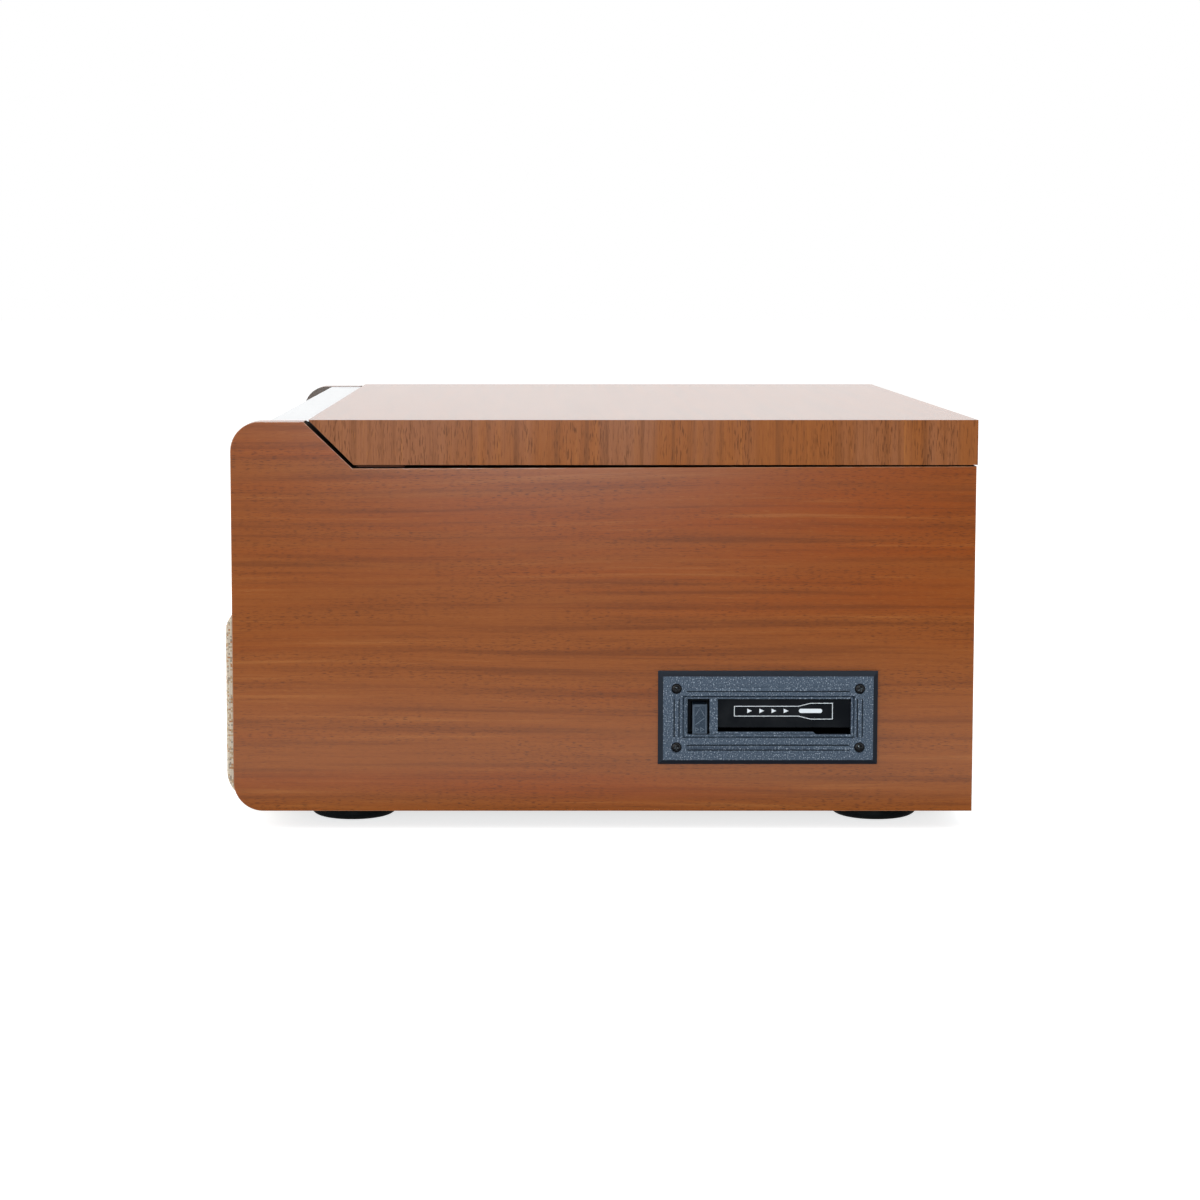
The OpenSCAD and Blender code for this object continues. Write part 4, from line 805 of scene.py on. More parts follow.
@dataclass(frozen=True)
class Finish:
    """What a surface is made of: its colours, how it shines, how rubbed its edges are and how much highlight
    is painted on them, and the dark colour of marked faces, which is real paint in the lid and painted shade
    elsewhere.
    """

    effect: ClassVar[type[Effect]] = Smear
    name: str
    colour: Colour
    second: Colour
    shine: float = 0.45
    relief: float = 0.1
    bump: float = 0.3
    # Lighter colour on the marked edges: real rubbing, and on veneer, bezel, key and screws a painted
    # highlight.
    wear: float = 0.0
    worn: Colour = (0.6, 0.6, 0.6)
    dust: float = 0.0
    coat: float = 0.0
    coat_shine: float = 0.1
    metal: float = 0.0
    sheen: float = 0.0
    specular: float = 0.5
    # Dark colour of faces marked inside: real paint in the lid, painted shade on the panels, fascia and
    # bezel.
    paint: Optional[Colour] = None
    paint_shine: float = 0.9

    def coordinates(self, graph: Graph) -> Socket:
        """The place on the piece that the pattern follows."""
        return graph.add("TexCoord").outputs["Object"]

    def pattern(self, graph: Graph, place: Socket) -> Sockets:
        """The pattern at a place on the piece.

        Args:
            graph: The material's tree.
            place: The place on the piece.

        Returns:
            The colour, roughness and height from the pattern's group, each of whose inputs takes
            the field of the same name.
        """
        effect = self.effect()
        values = {name: getattr(self, name.lower()) for name in effect.takes if name != "Vector"}
        return effect.place(graph, Vector=place, **values)

    def shader(self, graph: Graph, shader: bpy.types.Node) -> None:
        """Sets the values that are the same all over the surface."""
        for name, value in (("Metallic", self.metal), ("Coat Weight", self.coat),
                            ("Coat Roughness", self.coat_shine), ("Sheen Weight", self.sheen),
                            ("Specular IOR Level", self.specular)):
            graph.feed(shader.inputs[name], value)

    def material(self) -> bpy.types.Material:
        """The finish's material, made on first use."""
        if self in MATERIALS:
            return MATERIALS[self]
        material = bpy.data.materials.new("finish_" + self.name)
        material.use_nodes = True
        graph = Graph(material.node_tree)
        shader = graph.add("BsdfPrincipled")
        graph.add("OutputMaterial", {"Surface": shader.outputs["BSDF"]})
        self.shader(graph, shader)
        place = self.coordinates(graph)
        made = self.pattern(graph, place)
        colour = made["Color"]
        # Lighter edge colour: rubbing, and on veneer, bezel, key and screws a painted highlight.
        if self.wear:
            mask = EdgeWear().place(graph, Vector=place, Amount=self.wear)["Mask"]
            colour = graph.mix(mask, colour, self.worn)
        if self.dust:
            normal = graph.add("TexCoord").outputs["Normal"]
            film = Dust().place(graph, Vector=place, Normal=normal, Amount=self.dust)["Mask"]
            colour = graph.mix(film, colour, DUST_COLOUR)
        # Faces marked inside take the dark colour: real paint in the lid, painted shade behind the slot, on
        # the fascia's hidden faces and on the bezel's slopes, lines and well walls.
        if self.paint:
            inside = graph.add("Attribute", attribute_name="inside").outputs["Fac"]
            colour = graph.mix(inside, colour, self.paint)
            shine = {0: inside, 2: made["Roughness"], 3: self.paint_shine}
            made["Roughness"] = graph.add("Mix", shine).outputs[0]
            if self.coat:
                coat = graph.math("MULTIPLY_ADD", inside, -self.coat, self.coat)
                graph.feed(shader.inputs["Coat Weight"], coat)
        inputs = {"Strength": self.bump, "Distance": self.relief * MM, "Height": made["Height"]}
        bump = graph.add("Bump", inputs)
        graph.feed(shader.inputs["Base Color"], colour)
        graph.feed(shader.inputs["Roughness"], made["Roughness"])
        graph.feed(shader.inputs["Normal"], bump.outputs["Normal"])
        MATERIALS[self] = material
        return material


MATERIALS: dict[Finish, bpy.types.Material] = {}
DUST_COLOUR: Colour = (0.42, 0.40, 0.37)


@dataclass(frozen=True)
class Veneer(Finish):
    """Lacquered veneer, plain stained wood on the faces marked as lining, and a dark colour inside: real
    paint in the lid, painted shade on the panels behind the slot.
    """

    effect: ClassVar[type[Effect]] = WoodGrain
    band: Colour = (0.286, 0.055, 0.001)
    pore: Colour = (0.08, 0.022, 0.005)
    pale: Colour = (0.47, 0.16, 0.032)
    fine: float = 1.0
    lining: Colour = (0.125, 0.088, 0.068)

    def coordinates(self, graph: Graph) -> Socket:
        """The place on the sheet of veneer."""
        return graph.add("UVMap", uv_map="grain").outputs["UV"]

    def pattern(self, graph: Graph, place: Socket) -> Sockets:
        """Grain, with plain stain on the lining."""
        made = super().pattern(graph, place)
        lining = graph.add("Attribute", attribute_name="lining").outputs["Fac"]
        made["Color"] = graph.mix(lining, made["Color"], self.lining)
        return made


@dataclass(frozen=True)
class Moulded(Finish):
    """Plastic from a grained mould, with a number of cells in a metre."""

    effect: ClassVar[type[Effect]] = MouldedGrain
    cells: float = 1700.0
    specks: float = 0.5


class Lay(Enum):
    """Which way the lines of brushed metal run, as a turn that brings them to x."""

    ALONG_X = (0.0, 0.0, 0.0)
    ALONG_Y = (0.0, 0.0, math.pi / 2)
    ALONG_Z = (0.0, -math.pi / 2, 0.0)


@dataclass(frozen=True)
class Brushed(Finish):
    """Brushed metal."""

    effect: ClassVar[type[Effect]] = Brushing
    metal: float = 1.0
    lay: Lay = Lay.ALONG_X

    def coordinates(self, graph: Graph) -> Socket:
        """The place on the piece, turned so that the lines run along x."""
        place = super().coordinates(graph)
        inputs = {"Vector": place, "Rotation": self.lay.value}
        return graph.add("Mapping", inputs, vector_type="TEXTURE").outputs[0]


@dataclass(frozen=True)
class Turned(Finish):
    """Metal turned about an axis through a centre, given in millimetres of the drawing."""

    effect: ClassVar[type[Effect]] = Turning
    metal: float = 1.0
    centre: Place = (0.0, 0.0, 0.0)
    turn: Place = (0.0, 0.0, 0.0)

    def coordinates(self, graph: Graph) -> Socket:
        """The place on the piece, from the axis."""
        inputs = {"Vector": super().coordinates(graph), "Location": DRAWING @ Vector(self.centre),
                  "Rotation": self.turn}
        return graph.add("Mapping", inputs, vector_type="TEXTURE").outputs[0]


@dataclass(frozen=True)
class Fibrous(Finish):
    """Hardboard, felt or paper, with a number of fibres in a metre."""

    effect: ClassVar[type[Effect]] = Fibres
    fibres: float = 900.0


@dataclass(frozen=True)
class Tweed(Finish):
    """Woven cloth of flecked yarns."""

    effect: ClassVar[type[Effect]] = Weave
    rust: Colour = (0.50, 0.22, 0.08)
    grey: Colour = (0.36, 0.29, 0.22)
    yarns: float = 1150.0

    def coordinates(self, graph: Graph) -> Socket:
        """The place on the flat cloth."""
        return graph.add("UVMap", uv_map="cloth").outputs["UV"]


@dataclass(frozen=True)
class Circuit(Finish):
    """A lacquered circuit board."""

    effect: ClassVar[type[Effect]] = Tracks
    pad: Colour = (0.55, 0.53, 0.48)


@dataclass(frozen=True)
class Clear(Finish):
    """Clear plastic that is seen through."""

    def shader(self, graph: Graph, shader: bpy.types.Node) -> None:
        """Sets the values of a clear sheet."""
        super().shader(graph, shader)
        graph.feed(shader.inputs["Transmission Weight"], 1.0)
        graph.feed(shader.inputs["IOR"], 1.46)


# The pale edge colour is partly the lighter veneer edge and partly a painted highlight along the softened
# edges. The dark colour is painted shade on the panel faces behind the slot and real paint inside the lid.
SIDE_VENEER = Veneer("side_veneer", (0.288, 0.071, 0.007), (0.155, 0.033, 0.002), shine=0.50, relief=0.05,
                     bump=0.12, wear=0.45, worn=(0.55, 0.30, 0.17), coat=1.0, coat_shine=0.17, specular=0.05,
                     paint=(0.014, 0.010, 0.008))
LID_VENEER = replace(SIDE_VENEER, name="lid_veneer", colour=(0.310, 0.110, 0.044), band=(0.310, 0.092, 0.020),
                     second=(0.165, 0.052, 0.016), pore=(0.07, 0.022, 0.008), fine=0.7, coat=0.81,
                     coat_shine=0.10, bump=0.05)
RAW_BOARD = Fibrous("raw_board", (0.30, 0.19, 0.10), (0.43, 0.30, 0.18), shine=0.8, relief=0.05)
DARK_BOARD = Fibrous("dark_board", (0.020, 0.019, 0.018), (0.045, 0.041, 0.038), shine=0.62, relief=0.06,
                     wear=0.25, worn=(0.20, 0.14, 0.09))
PAPER = Fibrous("cone_paper", (0.018, 0.017, 0.016), (0.05, 0.048, 0.045), shine=0.85, fibres=1500.0)
FELT = Fibrous("felt", (0.085, 0.022, 0.008), (0.13, 0.038, 0.015), shine=0.95, relief=0.2, bump=0.6,
               sheen=0.03, fibres=2200.0)
CLOTH = Tweed("tweed", (0.77, 0.65, 0.50), (0.57, 0.39, 0.22), shine=0.9, relief=0.35, bump=0.7, sheen=0.15)
# The dark colour is painted shade on the faces behind the strip.
FASCIA_WHITE = Moulded("fascia_white", (0.80, 0.81, 0.82), (0.90, 0.91, 0.91), shine=0.34, relief=0.03,
                       bump=0.12, specks=0.15, wear=0.2, worn=(0.95, 0.95, 0.95), cells=1200.0,
                       paint=(0.010, 0.010, 0.010))
# Painted highlight: the lighter edge colour along the face's softened edges. Painted shade: the dark colour
# on the slopes, the lines beside the beads and the walls under the well.
BEZEL_GREY = Moulded("bezel_grey", (0.054, 0.075, 0.108), (0.44, 0.49, 0.56), bump=0.5, specks=0.80,
                     wear=0.6, worn=(0.28, 0.34, 0.40), cells=1550.0, paint=(0.011, 0.017, 0.026),
                     paint_shine=0.6, specular=0.25)
# On the key the lighter edge colour paints a highlight on the raised signs.
KEY_GREY = replace(BEZEL_GREY, name="key_grey", colour=(0.020, 0.034, 0.055), specks=0.12, bump=0.2,
                   worn=(0.17, 0.21, 0.26))
DECK_BLACK = Moulded("deck_black", (0.016, 0.016, 0.017), (0.050, 0.050, 0.052), shine=0.48, bump=0.4,
                     specks=0.4, wear=0.3, worn=(0.09, 0.09, 0.09), dust=0.10)
FRAME_BLACK = replace(DECK_BLACK, name="frame_black", cells=1100.0, dust=0.0)
# Darker than black plastic, so the tape chassis paints shade in the well round the key.
WELL_BLACK_AND_SHADE = replace(FRAME_BLACK, name="well_black_and_shade", colour=(0.003, 0.003, 0.004),
                     second=(0.012, 0.012, 0.013), specks=0.2, wear=0.1, specular=0.05)
CHASSIS_GREY = Moulded("chassis_grey", (0.055, 0.057, 0.060), (0.11, 0.11, 0.115), shine=0.5)
SWITCH_SILVER = Moulded("switch_silver", (0.52, 0.52, 0.51), (0.66, 0.66, 0.65), shine=0.32, relief=0.04,
                        bump=0.15, specks=0.3, wear=0.3, worn=(0.8, 0.8, 0.8))
DRAWER_WHITE = replace(FASCIA_WHITE, name="drawer_white", colour=(0.80, 0.81, 0.81))
RUBBER = Moulded("rubber", (0.014, 0.014, 0.014), (0.04, 0.04, 0.04), shine=0.72, relief=0.08, bump=0.4,
                 specks=0.35, dust=0.14, cells=2200.0)
GLOSS_BLACK = Finish("gloss_black", (0.006, 0.007, 0.009), (0.10, 0.10, 0.10), shine=0.12, relief=0.02,
                     bump=0.05, wear=0.3, worn=(0.05, 0.05, 0.055), specular=0.03)
FOOT_BLACK = Finish("foot_black", (0.005, 0.006, 0.007), (0.06, 0.06, 0.06), shine=0.22, relief=0.03,
                    bump=0.1)
# Painted glints: the bright edge colour lights up the rounded edges of the cross in each head.
SCREW_BLACK = Finish("screw_black", (0.006, 0.006, 0.007), (0.07, 0.07, 0.07), shine=0.16, relief=0.02,
                     bump=0.05, wear=0.9, worn=(0.60, 0.62, 0.65), specular=0.3)
WHITE_INK = Finish("white_ink", (0.82, 0.83, 0.84), (0.68, 0.68, 0.70), shine=0.4, relief=0.01)
BROWN_INK = Finish("brown_ink", (0.045, 0.026, 0.016), (0.10, 0.07, 0.05), shine=0.5, relief=0.01)
RED_PLASTIC = Finish("red_plastic", (0.45, 0.018, 0.014), (0.6, 0.2, 0.17), shine=0.28, relief=0.02)
WHITE_PLASTIC = Finish("white_plastic", (0.78, 0.77, 0.74), (0.62, 0.61, 0.58), shine=0.3, relief=0.02)
DIAL_CREAM = Fibrous("dial_cream", (0.78, 0.66, 0.44), (0.84, 0.75, 0.56), shine=0.55, relief=0.02, bump=0.1)
DIAL_CLEAR = Clear("dial_clear", (0.97, 0.98, 0.98), (0.90, 0.91, 0.92), shine=0.05, relief=0.01, bump=0.02)
STEEL = Brushed("steel", (0.58, 0.58, 0.57), (0.34, 0.34, 0.34), shine=0.30, relief=0.02, bump=0.1,
                wear=0.5, worn=(0.8, 0.8, 0.8))
BRIGHT_STEEL = replace(STEEL, name="bright_steel", colour=(0.74, 0.74, 0.73), second=(0.55, 0.55, 0.55),
                       shine=0.16)
BASKET_STEEL = replace(STEEL, name="basket_steel", colour=(0.16, 0.16, 0.165), second=(0.08, 0.08, 0.08))
ARM_ALLOY = Brushed("arm_alloy", (0.72, 0.72, 0.71), (0.52, 0.52, 0.52), shine=0.24, relief=0.02, bump=0.1,
                    lay=Lay.ALONG_Y, wear=0.3, worn=(0.9, 0.9, 0.9))
BRASS = Brushed("brass", (0.66, 0.46, 0.19), (0.42, 0.27, 0.09), shine=0.26, relief=0.02, bump=0.1)
IRON = Brushed("core_iron", (0.20, 0.19, 0.19), (0.10, 0.095, 0.09), shine=0.42, lay=Lay.ALONG_Z, relief=0.08)
GILT = Turned("gilt", (0.62, 0.50, 0.30), (0.40, 0.31, 0.17), shine=0.2, relief=0.02, bump=0.12, wear=0.4,
              worn=(0.93, 0.88, 0.78))
GREEN_BOARD = Circuit("green_board", (0.010, 0.095, 0.035), (0.03, 0.17, 0.06), relief=0.05)


@dataclass
class Screw:
    """A domed screw with a cross in its head, standing on z = 0."""

    radius: float
    height: float
    cross: float
    shank: float = 0.0
    shank_r: float = 1.5

    def shape(self) -> Shape:
        """The screw's solid."""
        low = 0.25 * self.height
        dome = arc((0.0, low), (self.radius, self.height - low), 90, 0, 8)
        foot = [(self.radius, 0.0), (0.0, 0.0)]
        if self.shank:
            foot = [(self.radius, 0.0), (self.shank_r, 0.0), (self.shank_r, -self.shank), (0.0, -self.shank)]
        head = Shape.turned(dome + foot, 32)
        arm, half = self.cross, 0.22 * self.cross
        plus = [(arm, -half), (arm, half), (half, half), (half, arm), (-half, arm), (-half, half),
                (-arm, half), (-arm, -half), (-half, -half), (-half, -arm), (half, -arm), (half, -half)]
        head.carve(Shape.plate(plus, self.height).moved(shift(0, 0, 0.42 * self.height)))
        # Rounding the cross's edges lets the finish paint glints on them.
        return head.soften(0.15 * arm, 2, 40.0, lambda e: all(
            v.co.xy.length < 1.15 * arm and v.co.z > 0.55 * self.height for v in e.verts))

    def at(self, places: Iterable[Matrix]) -> Shape:
        """Copies of the screw at several places, as one shape."""
        pattern = self.shape()
        whole = Shape()
        for index, matrix in enumerate(places):
            spin = Matrix.Rotation(0.7 * index, 4, "Z")
            whole.join(pattern.copy().moved(matrix @ spin))
        return whole


@dataclass
class Studio:
    """Camera, pale floor, white surroundings and soft lamps."""

    eye: Place = (1.5979, -0.0325, 0.2732)
    dip: float = 5.60
    lens: float = 84.42
    sensor: float = 36.0
    frame_shift: Flat = (0.04858, -0.04142)
    ambient: float = 0.42
    dim: float = 0.03
    room_fade: Flat = (0.85, 0.55)
    floor_size: float = 30.0
    floor_glow: float = 0.72
    floor_colour: Colour = (0.72, 0.72, 0.72)
    floor_fade: Flat = (0.25, -0.25)
    strip_start: Flat = (0.26, 0.38)
    strip_end: Flat = (0.95, 0.45)
    aim: Place = (0.0, 0.0, 0.1)
    lamps: dict[str, tuple[Place, Flat, float, Colour]] = field(default_factory=lambda: {
        "window_lamp": ((3.4, -0.03, 0.61), (0.5, 0.8), 44.0, (0.70, 0.88, 1.0)),
        "key_lamp": ((2.6, -1.5, 1.1), (1.8, 1.8), 14.0, (1.0, 0.96, 0.92)),
        "fill_lamp": ((0.4, -2.8, 1.6), (2.0, 2.0), 34.0, (1.0, 1.0, 1.0)),
        "top_lamp": ((-0.3, 0.3, 2.6), (2.2, 2.2), 30.0, (1.0, 1.0, 1.0)),
        "back_lamp": ((-1.6, 2.4, 1.4), (2.0, 2.0), 26.0, (1.0, 1.0, 1.0)),
    })

    def build(self) -> None:
        """Makes the camera, the surroundings, the lamps and the floor."""
        scene = bpy.context.scene
        scene.view_settings.view_transform = "Standard"
        camera = bpy.data.objects.new("camera", bpy.data.cameras.new("camera"))
        camera.location = self.eye
        camera.rotation_euler = (math.radians(90 - self.dip), 0.0, math.radians(90))
        camera.data.lens, camera.data.sensor_width = self.lens, self.sensor
        camera.data.shift_x, camera.data.shift_y = self.frame_shift
        camera.data.clip_start = 0.01
        link(camera)
        scene.camera = camera
        self.surroundings()
        for name, (place, size, power, colour) in self.lamps.items():
            self.lamp(name, place, size, power, colour)
        self.floor()

    def surroundings(self) -> None:
        """White to the eye, softer as a light, and dim in mirrors on the camera's side."""
        world = bpy.data.worlds.new("white_room")
        world.use_nodes = True
        bpy.context.scene.world = world
        graph = Graph(world.node_tree)
        path = graph.add("LightPath").outputs
        across = graph.split(graph.add("TexCoord").outputs["Generated"])[0]
        away = graph.range(across, *self.room_fade, self.dim, 1.0)
        mirrored = graph.times(path["Is Glossy Ray"], away)
        shown = graph.math("MAXIMUM", path["Is Camera Ray"], path["Is Transmission Ray"])
        strength = graph.math("MAXIMUM", graph.math("MAXIMUM", shown, mirrored),
                              graph.times(path["Is Diffuse Ray"], self.ambient))
        light = graph.add("Background", {"Color": (1.0, 1.0, 1.0), "Strength": strength})
        graph.add("OutputWorld", {"Surface": light.outputs[0]})

    def lamp(self, name: str, place: Place, size: Flat, power: float, colour: Colour) -> None:
        """A soft lamp of a width and a height that points at the object."""
        data = bpy.data.lights.new(name, "AREA")
        data.shape, data.energy, data.color = "RECTANGLE", power, colour
        data.size, data.size_y = size
        lamp = bpy.data.objects.new(name, data)
        lamp.location = place
        way = Vector(self.aim) - Vector(place)
        lamp.rotation_euler = way.to_track_quat("-Z", "Y").to_euler()
        link(lamp)

    def floor(self) -> None:
        """A pale floor with the object's shadow, white in mirrors behind the object and in a strip."""
        mesh = bpy.data.meshes.new("floor")
        flat = bmesh.new()
        bmesh.ops.create_grid(flat, x_segments=1, y_segments=1, size=self.floor_size / 2)
        flat.to_mesh(mesh)
        flat.free()
        floor = bpy.data.objects.new("floor", mesh)
        link(floor)
        material = bpy.data.materials.new("pale_floor")
        material.use_nodes = True
        graph = Graph(material.node_tree)
        path = graph.add("LightPath").outputs
        matt = graph.add("BsdfDiffuse", {"Color": self.floor_colour})
        shown = graph.math("MAXIMUM", path["Is Camera Ray"], path["Is Transmission Ray"])
        glow = graph.add("Emission", {"Strength": graph.times(shown, self.floor_glow)})
        lit = graph.add("AddShader", {0: matt.outputs[0], 1: glow.outputs[0]})
        across = graph.split(graph.add("TexCoord").outputs["Object"])[0]
        away = graph.range(across, *self.floor_fade, self.dim, 1.0)
        near = graph.times(graph.range(across, *self.strip_start), graph.range(across, *self.strip_end))
        mirrored = graph.add("Emission", {"Strength": graph.math("MAXIMUM", away, near)})
        both = graph.add("MixShader", {0: path["Is Glossy Ray"], 1: lit.outputs[0], 2: mirrored.outputs[0]})
        graph.add("OutputMaterial", {"Surface": both.outputs[0]})
        mesh.materials.append(material)


@dataclass
class Cabinet:
    """Side panels, base and feet."""

    edge: float = 0.35
    foot_r: float = 21.5
    foot_flat_r: float = 16.0
    foot_edge: float = 3.2
    recess_r: float = 5.0
    recess_l: float = 4.0
    recess_edge: float = 0.4
    groove: float = 0.6
    groove_drops: tuple[float, ...] = (2.7, 2.4, 1.9, 1.6)
    step: float = 0.9
    corner_h: float = 16.0
    slot_from: float = 34.0
    mid_z: float = 100.0
    sheet: float = 1000.0
    strip: float = 400.0

    def build(self) -> list[Piece]:
        """All pieces of the cabinet."""
        return [self.panel("left_side_panel", -1), self.panel("right_side_panel", 1),
                dress("base_panel", RAW_BOARD), self.feet()]

    def panel(self, node: str, side: int) -> Piece:
        """One veneered side panel with softened outer edges.

        Args:
            node: The panel's CAD node.
            side: 1 for the right panel, -1 for the left one.

        Returns:
            The piece.
        """
        low, high = span(node)
        outer = high.x if side > 0 else low.x
        hidden = span("tape_bezel")

        def outline(edge: Edge) -> bool:
            """True for an edge of the panel's outer face that the tape bezel doesn't cover."""
            middle = (edge.verts[0].co + edge.verts[1].co) / 2
            covered = hidden[0].y < middle.y < hidden[1].y and hidden[0].z < middle.z < hidden[1].z
            return all(abs(v.co.x - outer) < 0.01 for v in edge.verts) and not covered

        def lay(place: Vector, normal: Vector) -> Flat:
            """Grain along y on the faces, and along the strips on the edges."""
            if abs(normal.x) > 0.7:
                return place.y + self.sheet * side, place.z
            return place.z + math.copysign(place.y, place.z - self.mid_z), place.x + self.strip

        shape = Shape.copy_of(node)
        corner = [v for v in shape.mesh.verts if v.co.z > high.z - self.corner_h]
        bmesh.ops.translate(shape.mesh, verts=corner, vec=(0, 0, -self.step))
        shape.soften(self.edge, 3, where=outline)
        shape.mark("lining", lambda f: f.normal.x * side < -0.5)
        # Painted shade: the faces that face up behind the slot take the dark colour.
        shape.mark("inside", lambda f: f.normal.z > 0.5 and abs(f.normal.x) < 0.3
                   and f.calc_center_median().y > self.slot_from)
        return shape.lay_grain(lay).finish(node + "_veneer", SIDE_VENEER, "cabinet", "side_wood", [node])

    def foot_axes(self) -> list[Flat]:
        """Where the four feet stand."""
        low, high = span("feet")
        r = self.foot_r
        return [(x, y) for x in (low.x + r, high.x - r) for y in (low.y + r, high.y - r)]

    def feet(self) -> Piece:
        """Four turned feet with a fine groove and a recess for the screw."""
        bottom, top = (corner.z for corner in span("feet"))
        rim = arc((self.foot_flat_r, bottom + self.foot_edge),
                  (self.foot_r - self.foot_flat_r, self.foot_edge), -90, 0, 10)
        inner, edge = self.foot_r - self.groove, self.recess_edge
        radii = (self.foot_r, inner, inner, self.foot_r)
        groove = [(r, top - drop) for r, drop in zip(radii, self.groove_drops)]
        profile = [(0.0, bottom + self.recess_l), (self.recess_r, bottom + self.recess_l),
                   (self.recess_r, bottom + edge), (self.recess_r + edge, bottom), *rim, *groove,
                   (self.foot_r, top), (0.0, top)]
        pattern = Shape.turned(profile, 96)
        whole = Shape()
        for x, y in self.foot_axes():
            whole.join(pattern.copy().moved(shift(x, y, 0)))
        return whole.finish("turned_feet", FOOT_BLACK, "cabinet", "foot_plastic", ["feet"])


@dataclass
class Lid:
    """The folded veneer lid, its back rail and its felt pads."""

    front: float = 38.3
    board: float = 9.0
    edge: float = 0.35
    rail_edge: float = 0.4
    sheet: float = 400.0
    pad_w: float = 9.0
    pad_r: float = 1.6
    pad_edge: float = 0.45
    crown: Flat = (2.0, 0.05)

    def build(self) -> list[Piece]:
        """All pieces of the lid."""
        return [self.shell(), self.rail(), *self.pads()]

    def shell(self) -> Piece:
        """Top and sides in one, cut off at a slope in front."""
        low, high = span("lid_cheeks")
        top, under = high.z, high.z - self.board
        inner = span("lid_back_rail")[1].x
        outline = [(-high.x, low.z), (-inner, low.z), (-inner, under), (inner, under), (inner, low.z),
                   (high.x, low.z), (high.x, top), (-high.x, top)]
        shape = Shape.plate(outline, high.y - self.front)
        shape.moved(shift(0, high.y, 0) @ Matrix.Rotation(math.radians(90), 4, "X"))
        mesh = shape.mesh
        cut = bmesh.ops.bisect_plane(mesh, geom=[*mesh.verts, *mesh.edges, *mesh.faces], clear_inner=True,
                                     plane_co=(0, self.front, top), plane_no=(0, 1, 1))
        loop = [e for e in cut["geom_cut"] if isinstance(e, Edge)]
        bmesh.ops.edgenet_fill(mesh, edges=loop)
        bmesh.ops.recalc_face_normals(mesh, faces=mesh.faces)
        shape.soften(self.edge, 3, where=lambda e: all(
            abs(v.co.x) > inner + 1 or v.co.z > under + 1 for v in e.verts))
        shape.mark("inside", lambda f: f.normal.z < -0.9 and f.calc_center_median().z > under - 1
                   or abs(f.normal.x) > 0.9 and abs(f.calc_center_median().x) < inner + 1)

        def lay(place: Vector, normal: Vector) -> Flat:
            """Grain across the top, and down the sides without a break."""
            if abs(normal.x) > 0.7:
                return math.copysign(high.x + top - place.z, place.x), place.y + self.sheet
            return place.x, place.y + self.sheet - (place.z if abs(normal.y) > 0.6 else top)

        return shape.lay_grain(lay).finish("lid_veneer", LID_VENEER, "lid", "lid_wood",
                                           ["lid_board", "lid_cheeks"])

    def rail(self) -> Piece:
        """The rail along the lid's back, with its grain lengthways."""
        back = span("lid_back_rail")[1].y
        shape = Shape.copy_of("lid_back_rail").soften(self.rail_edge, where=lambda e: all(
            v.co.y > back - 0.1 for v in e.verts))
        shape.mark("inside", lambda f: f.normal.y < -0.5)
        shape.lay_grain(lambda place, normal: (place.x, place.z + place.y))
        return shape.finish("lid_rail_veneer", LID_VENEER, "lid", "lid_wood", ["lid_back_rail"])

    def pads(self) -> list[Piece]:
        """Two felt pads with round, slightly crowned edges, each pressed flat on top."""
        low, high = span("lid_pads")
        inset, swell = self.crown
        pieces = []
        for side, name in ((-1, "left_pad"), (1, "right_pad")):
            outline = rounded((high.x - self.pad_w, low.y), (high.x, high.y), self.pad_r, 5)
            shape = Shape.plate(outline, high.z - low.z)
            shape.moved(shift(0, 0, low.z)).soften(self.pad_edge, 3, where=lambda e: all(
                v.co.z < low.z + 0.1 for v in e.verts))
            bmesh.ops.inset_region(shape.mesh, faces=[f for f in shape.mesh.faces if f.normal.z < -0.9],
                                   thickness=inset, depth=swell)
            shape.moved(Matrix.Scale(side, 4, (1, 0, 0)))
            bmesh.ops.recalc_face_normals(shape.mesh, faces=shape.mesh.faces)
            piece = shape.finish(name, FELT, "lid", "pad_felt", ["lid_pads"])
            pieces.append(piece)
        return pieces


